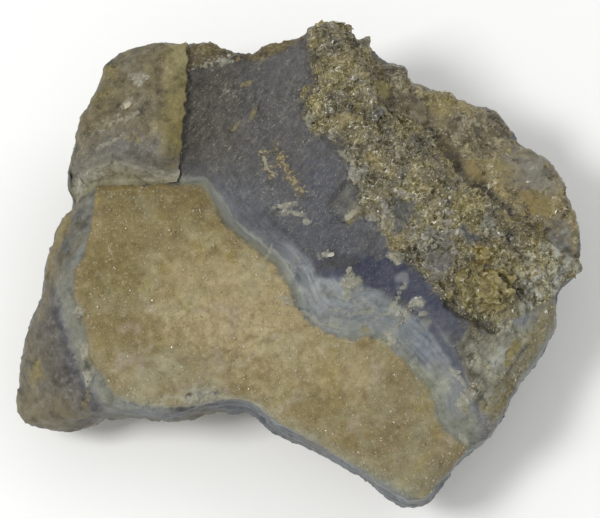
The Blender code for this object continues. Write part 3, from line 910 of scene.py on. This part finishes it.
# %% Bands round the druse, in the lace, on the flank, down the walls and under the shoulder's film
BANDS = [
    # the field that shakes the bands and by how many mm, the field they run along, the zone they
    # cover and how strongly, and then where each band lies in mm and its colour
    # round the druse
    ("pebble", 0.9, "druse", "rim", 0.75, [
        (-3.8, "#51535b"), (-2.7, "#585a61"), (-2.2, "#606364"), (-1.9, "#6f716e"), (-1.5, "#8c8e85"),
        (-1.2, "#7b7d73"), (-0.8, "#73756a"), (-0.2, "#77745d"), (0.5, "#7b714e"),
    ]),
    # in the lace
    ("pebble", 1.1, "druse", "lace", 0.4, [
        (-9.0, "#696e71"), (-6.5, "#777e84"), (-5.0, "#80868a"), (-4.2, "#767b7d"), (-3.4, "#858886"),
        (-2.7, "#6d7377"), (-2.0, "#7d807d"), (-1.5, "#697075"), (-1.0, "#777a71"), (-0.6, "#88887a"),
        (0.0, "#7a765f"), (0.6, "#807553"),
    ]),
    # on the flank
    ("patch", 1.6, "druse", "flank", 0.75, [
        (-14.0, "#6b6450"), (-8.0, "#5e594d"), (-5.0, "#575350"), (-4.0, "#42424a"), (-3.5, "#4a4c54"),
        (-3.0, "#6c6f71"), (-2.3, "#7d7f76"), (-1.2, "#7a7c70"), (-0.5, "#717364"), (0.0, "#77715a"),
        (0.6, "#7b7253"),
    ]),
    # down the walls
    ("cloud", 2.4, "depth", "wall", 0.90, [
        (-12, "#665d45"), (-7, "#544f3c"), (-4, "#4f5054"), (-2, "#5c6066"), (-0.6, "#7c817e"),
        (0.1, "#7f7c68"), (0.7, "#8f918a"), (1.4, "#7f8486"), (1.9, "#939692"), (2.6, "#6a6d71"),
        (3.8, "#74797c"), (4.4, "#53565d"), (5.8, "#7a8082"), (6.4, "#575a60"), (9.0, "#64686b"),
        (10.0, "#504f48"), (12.0, "#665d45"), (28.0, "#6d6349"),
    ]),
    # under the film of the shoulder, to its front
    ("pebble", 0.9, "front", "film", 0.8, [
        (-0.5, "#7d785c"), (0.3, "#7e7a60"), (1.3, "#8b8670"), (2.0, "#807d6e"), (2.35, "#9b9786"),
        (2.8, "#7c7970"), (3.5, "#6f6c64"), (4.6, "#605d56"), (8.0, "#5c5952"),
    ]),
]
field["wall"] = add("ShaderNodeMath", {0: 1.0, 1: field["face"]}, operation='SUBTRACT').outputs[0]
tone = add("ShaderNodeAttribute", attribute_name="stain").outputs[0]
for shaken_by, shake, along, zone, strength, bands in BANDS:
    shift = add("ShaderNodeMath", {0: field[shaken_by], 1: shake * 2.0, 2: -shake},
                operation='MULTIPLY_ADD').outputs[0]
    ruler = add("ShaderNodeMath", {0: field[along], 1: shift}, operation='ADD').outputs[0]
    first, last = bands[0][0], bands[-1][0]
    along_ramp = add("ShaderNodeMapRange", {0: ruler, 1: first, 2: last}).outputs[0]
    ramp = add("ShaderNodeValToRGB", {0: along_ramp})
    while len(ramp.color_ramp.elements) < len(bands):
        ramp.color_ramp.elements.new(0.5)
    for element, (at, code) in zip(ramp.color_ramp.elements, bands):
        element.position = (at - first) / (last - first)
        element.color = linear(code)
    cover = add("ShaderNodeMath", {0: field[zone], 1: strength}, operation='MULTIPLY').outputs[0]
    for end, next_to_it in ((first, bands[1][0]), (last, bands[-2][0])):
        fade = add("ShaderNodeMapRange", {0: ruler, 1: end, 2: next_to_it}).outputs[0]
        cover = add("ShaderNodeMath", {0: cover, 1: fade}, operation='MULTIPLY').outputs[0]
    tone = add("ShaderNodeMix", {0: cover, 6: tone, 7: ramp.outputs[0]}, data_type='RGBA').outputs[2]
print(sum(len(row[-1]) for row in BANDS), "bands")

# %% [markdown]
# The grain differs from zone to zone, so each zone has a list of its own.  A grain shows where its
# noise runs from one value to another, and it lightens, dims or covers what is under it.  Where a
# zone comes back later in the list, its grain lies over that of the zones between.

# %% Grain of each zone
PALE = 'SCREEN'               # a pale grain lightens what is under it
DIM = 'MULTIPLY'              # a dark one dims it
OVER = 'MIX'                  # and this one covers it
sugary = add("ShaderNodeMapRange", {0: field["druse"], 1: -0.4, 2: 0.4}).outputs[0]
crowded = add("ShaderNodeMapRange", {0: field["patch"], 1: 0.42, 2: 0.62}).outputs[0]
lively = add("ShaderNodeMapRange", {0: field["patch"], 1: 0.46, 2: 0.60, 3: 0.25, 4: 1.0}).outputs[0]
PARTS = (("sugar", sugary, "face"), ("flecked", crowded, "waxy"), ("lively", lively, "rock"))
for name, part, zone in PARTS:
    field[name] = add("ShaderNodeMath", {0: part, 1: field[zone]}, operation='MULTIPLY').outputs[0]
GRAIN = [
    # zone, and its grains: noise, from, to, strength, colour and how it is laid
    ("sugar", [
        ("patch", 0.51, 0.62, 0.40, "#4c5a50", PALE), ("mottle", 0.52, 0.66, 0.30, "#5c5340", PALE),
        ("mottle", 0.46, 0.34, 0.20, "#b4a27c", DIM), ("pebble", 0.54, 0.68, 0.45, "#5e5644", PALE),
        ("pebble", 0.45, 0.34, 0.18, "#a99a78", DIM), ("grit", 0.57, 0.69, 0.60, "#6a6450", PALE),
        ("sand", 0.60, 0.67, 0.45, "#8a8468", PALE), ("grit", 0.42, 0.32, 0.15, "#a89a7c", DIM),
    ]),
    ("balls", [
        ("cell", 0.20, 0.00, 0.30, "#b09a70", DIM), ("cell", 0.15, 0.45, 0.35, "#45443a", PALE),
    ]),
    ("waxy", [
        ("streak", 0.54, 0.70, 0.50, "#54524a", PALE), ("streak", 0.47, 0.32, 0.50, "#8f8d89", DIM),
        ("mottle", 0.46, 0.30, 0.50, "#a8a49c", DIM), ("pebble", 0.50, 0.66, 0.30, "#45443e", PALE),
        ("grit", 0.46, 0.32, 0.50, "#97948e", DIM), ("grit", 0.54, 0.68, 0.30, "#55534c", PALE),
    ]),
    ("flecked", [("fleck", 0.59, 0.66, 0.45, "#68665c", PALE)]),
    ("waxy", [
        ("fleck", 0.65, 0.71, 0.50, "#86805c", PALE), ("sand", 0.65, 0.69, 0.35, "#8d8662", PALE),
    ]),
    ("flecked", [
        ("thread", 0.014, 0.0, 0.35, "#6c6a5e", PALE), ("sand", 0.62, 0.68, 0.45, "#8a8774", PALE),
    ]),
    ("film", [
        ("mottle", 0.52, 0.66, 0.40, "#4c4940", PALE), ("mottle", 0.48, 0.34, 0.40, "#a8a090", DIM),
        ("streak", 0.52, 0.68, 0.60, "#5c5641", PALE), ("fleck", 0.63, 0.70, 0.45, "#7d775c", PALE),
        ("pebble", 0.47, 0.33, 0.55, "#9a917a", DIM), ("grit", 0.55, 0.70, 0.50, "#5b5747", PALE),
        ("pebble", 0.54, 0.68, 0.50, "#59533f", PALE), ("sand", 0.59, 0.66, 0.40, "#7d775c", PALE),
    ]),
    ("pale", [
        ("layer", 0.52, 0.66, 0.38, "#5a5c58", PALE), ("layer", 0.47, 0.34, 0.35, "#8b9098", DIM),
        ("patch", 0.50, 0.62, 0.50, "#70705e", OVER), ("mottle", 0.52, 0.66, 0.30, "#4d5052", PALE),
        ("pebble", 0.52, 0.68, 0.55, "#585a52", PALE), ("pebble", 0.46, 0.32, 0.50, "#8f9296", DIM),
        ("grit", 0.57, 0.70, 0.40, "#5f6056", PALE), ("cloud", 0.55, 0.44, 0.30, "#6b6f68", OVER),
    ]),
    ("rim", [
        ("layer", 0.52, 0.68, 0.30, "#4c4e4a", PALE), ("layer", 0.46, 0.34, 0.35, "#8c8e94", DIM),
        ("mottle", 0.52, 0.66, 0.35, "#4c4d42", PALE), ("grit", 0.55, 0.70, 0.30, "#5a5a4e", PALE),
    ]),
    ("side", [
        ("mottle", 0.46, 0.32, 0.65, "#a09c94", DIM), ("grit", 0.56, 0.70, 0.40, "#605d50", PALE),
        ("pebble", 0.46, 0.32, 0.40, "#9c988c", DIM),
    ]),
    ("flank", [("layer", 0.52, 0.66, 0.15, "#5a5a50", PALE)]),
    ("side", [
        ("pebble", 0.53, 0.67, 0.60, "#55524a", PALE), ("streak", 0.54, 0.70, 0.45, "#55534c", PALE),
        ("fleck", 0.64, 0.70, 0.40, "#77725c", PALE), ("patch", 0.52, 0.64, 0.45, "#766c4a", OVER),
    ]),
    ("rock", [
        ("patch", 0.50, 0.60, 0.55, "#857941", OVER), ("patch", 0.48, 0.37, 0.70, "#8e8d88", DIM),
        ("mottle", 0.52, 0.64, 0.45, "#4f4b3a", PALE), ("pebble", 0.47, 0.34, 0.50, "#868276", DIM),
        ("grit", 0.44, 0.32, 0.20, "#86827a", DIM), ("grit", 0.57, 0.68, 0.40, "#7a745a", PALE),
        ("thread", 0.035, 0.0, 0.65, "#8a8464", PALE),
    ]),
    ("lively", [
        # the lively pale sand is painted glints: near white specks in the base colour
        ("grit", 0.54, 0.66, 0.65, "#7d7656", PALE), ("sand", 0.59, 0.66, 0.90, "#c4be9e", PALE),
    ]),
    # the wall rock's pale flecks are painted glints
    ("rock", [("fleck", 0.63, 0.69, 0.60, "#b5af90", PALE)]),
    ("glass", [
        ("patch", 0.52, 0.66, 0.35, "#7d6f3a", OVER), ("patch", 0.47, 0.35, 0.75, "#8a8478", DIM),
        # the glass's pale flecks are partly painted glints
        ("thread", 0.030, 0.0, 0.45, "#7c765a", PALE), ("fleck", 0.64, 0.70, 0.65, "#b4ac88", PALE),
        ("mottle", 0.54, 0.66, 0.60, "#5f5b4c", PALE), ("pebble", 0.54, 0.68, 0.50, "#6e6a50", PALE),
        ("pebble", 0.46, 0.34, 0.40, "#8e8a7c", DIM),
    ]),
    ("wall", [
        ("pebble", 0.46, 0.30, 0.40, "#9a988c", DIM), ("mottle", 0.56, 0.70, 0.30, "#8c8669", OVER),
        ("strata", 0.52, 0.66, 0.35, "#565852", PALE), ("strata", 0.47, 0.34, 0.45, "#8e8f94", DIM),
        ("grit", 0.56, 0.70, 0.35, "#605d50", PALE), ("cloud", 0.53, 0.64, 0.50, "#6a6149", OVER),
    ]),
]
for zone, grains in GRAIN:
    for name, start, end, strength, code, how in grains:
        grain = add("ShaderNodeMapRange", {0: field[name], 1: start, 2: end, 4: strength}).outputs[0]
        cover = add("ShaderNodeMath", {0: grain, 1: field[zone]}, operation='MULTIPLY').outputs[0]
        tone = add("ShaderNodeMix", {0: cover, 6: tone, 7: linear(code)}, data_type='RGBA',
                   blend_type=how).outputs[2]
print(sum(len(grains) for zone, grains in GRAIN), "grains")

# %% [markdown]
# A stain or a bruise fades out in crumbs, not at a line.  So the noise is taken from the mark's own
# field, and what is left above zero is coloured.

# %% Bruises, scratches and iron, with ragged edges
CRUMBLE = 0.25                # how far above its edge a mark reaches its full strength
MARKS = [
    # field, noise that ragges it, by how much, where it starts, strength, colour
    ("iron", "pebble", 2.0, 0.25, 0.45, "#72673b"), ("iron", "grit", 2.6, 0.55, 0.40, "#908453"),
    ("rust", "pebble", 2.4, 0.40, 0.50, "#574828"), ("rust", "grit", 3.4, 0.65, 0.60, "#84764a"),
    ("rust", "grit", 4.0, 1.05, 0.40, "#a39a76"), ("bruise", "pebble", 1.0, 0.15, 0.45, "#77766a"),
    ("bruise", "pebble", 1.8, 0.35, 0.45, "#93907f"), ("bruise", "grit", 3.0, 0.70, 0.40, "#aeaa97"),
    ("scratch", "grit", 2.4, 0.40, 0.60, "#93917f"),
]
for name, by, ragged, start, strength, code in MARKS:
    shake = add("ShaderNodeMath", {0: field[by], 1: ragged * 2.0, 2: -ragged - start},
                operation='MULTIPLY_ADD').outputs[0]
    edge = add("ShaderNodeMath", {0: field[name], 1: shake}, operation='ADD').outputs[0]
    cover = add("ShaderNodeMapRange", {0: edge, 1: 0.0, 2: CRUMBLE, 4: strength}).outputs[0]
    inside = add("ShaderNodeMapRange", {0: field[name], 1: -0.1, 2: 0.3}).outputs[0]
    cover = add("ShaderNodeMath", {0: cover, 1: inside}, operation='MULTIPLY').outputs[0]
    tone = add("ShaderNodeMix", {0: cover, 6: tone, 7: linear(code)}, data_type='RGBA').outputs[2]
tree.links.new(tone, shader.inputs["Base Color"])
print(len(MARKS), "marks;", len(tree.nodes), "nodes so far")

# %% [markdown]
# Broken chalcedony has a waxy sheen.  Clean quartz is glassier, and sparkles where its small flats
# catch the light.  Light wanders a little way into the stone, but not into the bright crystals.

# %% Sheen, sparkle and the finest relief
QUARTZ_IOR = 1.54
WAXY = (0.42, 0.60)           # roughness on smooth and on rough grain
GLASSIER = 0.32               # how much less rough clean quartz is
SHINE = (0.28, 0.6)           # strength of the reflections of weathered stone and of clean quartz
FLAT_TILT = 1.4               # how far the small flats lean from the surface
GRAIN_HEIGHT = 0.12 * MM
BUMP = (0.45, 0.05)           # strength of the grain on matt stone and on the brightest crystals
GLOW = (0.25, 0.0)            # light scattered inside, on matt stone and in the brightest crystals
GLOW_REACH = 1.0 * MM
WARM = (1.0, 0.85, 0.7)       # red wanders furthest

sheen = add("ShaderNodeMapRange", {0: field["grit"], 1: 0.3, 2: 0.7, 3: WAXY[0], 4: WAXY[1]}).outputs[0]
glassy = add("ShaderNodeMath", {0: field["rock"], 1: field["gloss"]}, operation='MAXIMUM').outputs[0]
dulled = add("ShaderNodeMath", {0: glassy, 1: -GLASSIER, 2: sheen}, operation='MULTIPLY_ADD').outputs[0]
tree.links.new(dulled, shader.inputs["Roughness"])
weathered = add("ShaderNodeMapRange", {0: glassy, 3: SHINE[0], 4: SHINE[1]}).outputs[0]
tree.links.new(weathered, shader.inputs["Specular IOR Level"])

centred = add("ShaderNodeVectorMath", {0: flat_cell, 1: (0.5, 0.5, 0.5)}, operation='SUBTRACT').outputs[0]
tilt = add("ShaderNodeMath", {0: field["rock"], 1: FLAT_TILT}, operation='MULTIPLY').outputs[0]
tilted = add("ShaderNodeVectorMath", {0: centred, "Scale": tilt}, operation='SCALE').outputs[0]
surface = add("ShaderNodeNewGeometry").outputs["Normal"]
hackly = add("ShaderNodeVectorMath", {0: surface, 1: tilted}, operation='ADD').outputs[0]
hackly = add("ShaderNodeVectorMath", {0: hackly}, operation='NORMALIZE').outputs[0]
grains = add("ShaderNodeMath", {0: field["sand"], 1: field["grit"]}, operation='ADD').outputs[0]
for name in ("streak", "pebble"):
    grains = add("ShaderNodeMath", {0: field["waxy"], 1: field[name], 2: grains},
                 operation='MULTIPLY_ADD').outputs[0]
soft = add("ShaderNodeMapRange", {0: field["gloss"], 3: BUMP[0], 4: BUMP[1]}).outputs[0]
bump = add("ShaderNodeBump", {"Height": grains, "Strength": soft, "Distance": GRAIN_HEIGHT,
                              "Normal": hackly}).outputs[0]
tree.links.new(bump, shader.inputs["Normal"])

glow = add("ShaderNodeMapRange", {0: field["gloss"], 3: GLOW[0], 4: GLOW[1]}).outputs[0]
tree.links.new(glow, shader.inputs["Subsurface Weight"])
shader.inputs["Subsurface Radius"].default_value = WARM
shader.inputs["Subsurface Scale"].default_value = GLOW_REACH
shader.inputs["IOR"].default_value = QUARTZ_IOR
stone.data.materials.clear()
stone.data.materials.append(stuff)
only(stone)
bpy.ops.object.shade_smooth()
print("material", len(tree.nodes), "nodes")

# %% [markdown]
# ## Crystals
# The druse ends in quartz tips, and the wall rock in broken quartz grit.  Where the face was knocked
# it is covered with crushed flakes.  Each is modelled once: a tip from a cone, and a shard and a
# flake from a ball and a disc, whose corners are jolted out of place.  Thousands of copies as
# separate objects would be slow, so they are joined in one mesh of each kind.

# %% Shapes that repeat
SHAPES_SEED = 11
FURTHEST_JOLT = 1.25          # against a corner's own place
TIP_HEIGHT = 0.5              # against the radius of its foot
GRIT_SHAPE = (1.8, 0.55, 0.45)  # a shard's length, width and thickness against a ball's
FLAKE_SHAPE = (1.3, 0.8, 1.0)  # a crushed flake's length, width and thickness against a disc's
FLAKE_THICKNESS = 0.3         # against its radius

bpy.ops.object.select_all(action='DESELECT')
bpy.ops.mesh.primitive_cone_add(vertices=6, radius1=1.0, radius2=0.0, depth=TIP_HEIGHT)
tip = bpy.context.object
bpy.ops.mesh.primitive_ico_sphere_add(subdivisions=1, radius=1.0)
grit = bpy.context.object
bpy.ops.mesh.primitive_cylinder_add(vertices=5, radius=1.0, depth=FLAKE_THICKNESS)
flake = bpy.context.object
dice = np.random.default_rng(SHAPES_SEED)
for shape, least, form in ((grit, 0.7, GRIT_SHAPE), (flake, 0.6, FLAKE_SHAPE)):
    jolted = corners(shape) * dice.uniform(least, FURTHEST_JOLT, (len(shape.data.vertices), 3)) * form
    shape.data.vertices.foreach_set("co", jolted.ravel())
for name, shape in (("tip", tip), ("grit", grit), ("flake", flake)):
    print(name, len(shape.data.polygons), "faces")

# %% [markdown]
# A copy stands on a corner of the skin, leans a little, and is sunk in so that it looks grown there.
# It takes its stain and its other numbers from that corner, and part of a colour of its own.  Each
# sowing says how many copies there are and how large, how far they lean, how deep they sit against
# their size, how strong their own colour is at most, how much their brightness differs, how often
# each colour comes, and how glossy they are.

# %% Sowing
# ice is near white: on the clean shards it paints glints into their colour
OWN_COLOURS = ("#8d7c4b", "#c6bea0", "#45423a", "#a7a595", "#f2efe2")  # gold, cream, smoke, chalk, ice
STRAY = 0.10 * MM             # how far a copy strays from its corner
SIZE_POWER = 1.6              # over 1, it makes small copies commoner than large ones
standing = normals(stone)


def give(mesh, name, kind, key, values):
    """Store values for each corner of a mesh, for the material to read."""
    mesh.attributes.new(name, kind, 'POINT').data.foreach_set(key, values.astype(np.float32).ravel())


def sow(name, shape, weight, count, sizes, lean, sink, seed, own_colour, spread, shares, gloss):
    """Join copies of a shape, standing on corners of the skin picked by weight; sizes are in mm."""
    dice = np.random.default_rng(seed)
    weight = np.clip(weight, 0.0, None)
    picked = dice.choice(len(weight), count, replace=False, p=weight / weight.sum())
    size = sizes[0] + (sizes[1] - sizes[0]) * dice.uniform(0.0, 1.0, count) ** SIZE_POWER
    up = standing[picked] + dice.normal(0.0, lean, (count, 3))
    up /= np.linalg.norm(up, axis=1)[:, None]
    side = np.cross(up, dice.normal(0.0, 1.0, (count, 3)))
    side /= np.linalg.norm(side, axis=1)[:, None]
    frames = np.stack([side, np.cross(up, side), up], axis=1)
    middles = moved[picked] + dice.normal(0.0, STRAY, (count, 3)) - up * (size * sink * MM)[:, None]
    turned = np.einsum('vk,nkj->nvj', corners(shape), frames)
    points = turned * (size * MM)[:, None, None] + middles[:, None, :]

    each = len(shape.data.vertices)
    faces = [np.array(face.vertices) for face in shape.data.polygons]
    mesh = bpy.data.meshes.new(name)
    mesh.from_pydata(points.reshape(-1, 3).tolist(), [],
                     [(face + copy * each).tolist() for copy in range(count) for face in faces])
    mesh.shade_flat()
    mesh.materials.append(stuff)
    piece = bpy.data.objects.new(name, mesh)
    bpy.context.scene.collection.objects.link(piece)

    tint = stain[picked] * dice.uniform(1.0 - spread, 1.0 + spread, (count, 1))
    own = np.array([linear(code) for code in OWN_COLOURS])[dice.choice(len(OWN_COLOURS), count, p=shares)]
    tint += (own - tint) * own_colour * dice.uniform(0.0, 1.0, (count, 1))
    tint[:, 3] = 1.0
    give(mesh, "stain", 'FLOAT_COLOR', "color", np.repeat(tint, each, axis=0))
    for number in kept:
        values = np.empty(len(stone.data.vertices), np.float32)
        stone.data.attributes[number].data.foreach_get("value", values)
        values = dice.uniform(*gloss, count) if number == "gloss" else values[picked]
        give(mesh, number, 'FLOAT', "value", np.repeat(values, each))
    print(name, count, "copies,", sum(len(face) - 2 for face in faces) * count, "triangles")
    return piece


# %% [markdown]
# The druse is covered with tips 0.3 to 0.6 mm wide, from dull to bright.

# %% Druse tips
tips = sow("druse_tips", tip, smooth(0.1, 0.5, druse) * face, count=4500, sizes=(0.14, 0.30), lean=0.2,
           sink=0.15, seed=3, own_colour=0.35, spread=0.15, shares=(0.35, 0.60, 0.05, 0.0, 0.0),
           gloss=(0.2, 1.0))

# %% [markdown]
# The wall rock sparkles most along its broken layers and in a few crowds of clean quartz.  Its grit
# is stained, and a few clean shards among it are painted near white, as glints.

# %% Wall rock grit and glints
CLUSTERS = [
    # where glints crowd: middle, radii, turn
    ((440, 106), (13, 12), 0), ((404, 100), (8, 5), 0), ((370, 178), (14, 12), 20),
    ((390, 160), (20, 8), 10), ((432, 137), (12, 6), 40), ((318, 96), (8, 22), 10),
    ((345, 128), (20, 9), 30), ((416, 178), (14, 6), 30), ((545, 265), (12, 16), 10),
    ((536, 312), (9, 10), 0), ((516, 272), (8, 6), 20), ((360, 62), (10, 16), 20),
    ((472, 204), (10, 4), 20), ((562, 214), (5, 9), 0), ((396, 176), (10, 6), 30),
]
# the weights say how thickly the shards stand: sparkle for the stained ones, clean for the others
FACET_EDGE = [(556, 300), (536, 345), (498, 405)]
FACET_GLINTS = [(552, 300), (538, 335), (522, 368), (510, 388)]
crowd = np.clip(2.0 * most(blob(*place) for place in CLUSTERS), 0.0, 1.0)
sparkle = on_rock * (1.15 - on_glassy) + 0.03 * on_crust + 0.5 * smooth(0.0, 0.5, lump)
sparkle += 1.2 * on_facet * smooth(5.0, 0.5, from_line(FACET_EDGE))
sparkle += 3.0 * on_rock * np.clip(2.0 * blob((552, 285), (26, 48), 10, 0.4), 0.0, 1.0)
sparkle += 1.5 * on_rock * crowd
sparkle *= (0.10 + smooth(-0.2, 0.9, lump_3 + 0.5 * chip_2)) * smooth(0.2, 0.4, face)
grits = sow("wall_rock_grit", grit, sparkle, count=1900, sizes=(0.10, 0.33), lean=0.45, sink=0.40, seed=5,
            own_colour=0.8, spread=0.25, shares=(0.45, 0.30, 0.25, 0.0, 0.0), gloss=(0.9, 1.0))
clean = on_rock * (0.06 + crowd)
clean += on_facet * smooth(0.0, 0.5, stroke(FACET_GLINTS, 0.9))
glints = sow("clean_quartz_glints", grit, clean * smooth(0.2, 0.4, face), count=260, sizes=(0.10, 0.30),
             lean=0.35, sink=0.30, seed=9, own_colour=1.0, spread=0.1,
             shares=(0.15, 0.15, 0.0, 0.0, 0.70), gloss=(0.9, 1.0))

# %% [markdown]
# A knock leaves the quartz crushed to pale, dull flakes that lie nearly flat.

# %% Crushed flakes
crushed = smooth(0.10, 0.45, bruise + 0.2 * chip_1) * smooth(0.2, 0.5, face)
flakes = sow("crushed_flakes", flake, crushed, count=260, sizes=(0.20, 0.85), lean=0.20, sink=0.12, seed=8,
             own_colour=1.0, spread=0.1, shares=(0.06, 0.30, 0.0, 0.64, 0.0), gloss=(0.3, 0.6))
for shape in (tip, grit, flake):
    bpy.data.objects.remove(shape)

# %% [markdown]
# ## Floor and light
# The stone lies on white paper, which is matt and throws light back onto the walls.  A small soft
# box high at the left shows the grain, a wide one at the right and back fills the shadows, and an
# even white sky keeps them open.

# %% Floor and light
FLOOR_SIZE = 1.6              # in metres
PAPER = "#fafaf8"
PAPER_ROUGHNESS = 0.9
SKY_STRENGTH = 0.55
bpy.ops.object.select_all(action='DESELECT')
bpy.ops.mesh.primitive_plane_add(size=FLOOR_SIZE)
floor = bpy.context.object
floor.name = "floor"
paper = bpy.data.materials.new("white_paper")
paper.use_nodes = True
paper.node_tree.nodes["Principled BSDF"].inputs["Base Color"].default_value = linear(PAPER)
paper.node_tree.nodes["Principled BSDF"].inputs["Roughness"].default_value = PAPER_ROUGHNESS
floor.data.materials.append(paper)

SOFT_BOXES = [
    # name, place and size in metres, watts
    ("key", (-0.34, -0.10, 0.56), 0.18, 2.3),
    ("fill", (0.40, 0.30, 0.50), 0.40, 0.7),
]
for name, place, size, watts in SOFT_BOXES:
    lamp_data = bpy.data.lights.new(name, 'AREA')
    lamp_data.size = size
    lamp_data.energy = watts
    lamp = bpy.data.objects.new(name, lamp_data)
    bpy.context.scene.collection.objects.link(lamp)
    lamp.location = place
    lamp.rotation_euler = (MIDDLE - Vector(place)).to_track_quat('-Z', 'Y').to_euler()

world = bpy.data.worlds.new("studio")
world.use_nodes = True
world.node_tree.nodes["Background"].inputs["Color"].default_value = (1.0, 1.0, 1.0, 1.0)
world.node_tree.nodes["Background"].inputs["Strength"].default_value = SKY_STRENGTH
bpy.context.scene.world = world
bpy.context.scene.view_settings.view_transform = 'Standard'
print(len(SOFT_BOXES), "soft boxes")

# %% [markdown]
# ## Hand over
# The skin and the crystals are one body with the stone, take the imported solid's place, and have one
# colour slot, because the stone is one material all through.

# %% Hand over
for piece in (stone, tips, grits, glints, flakes):
    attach(piece, "root")
    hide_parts(NODE)
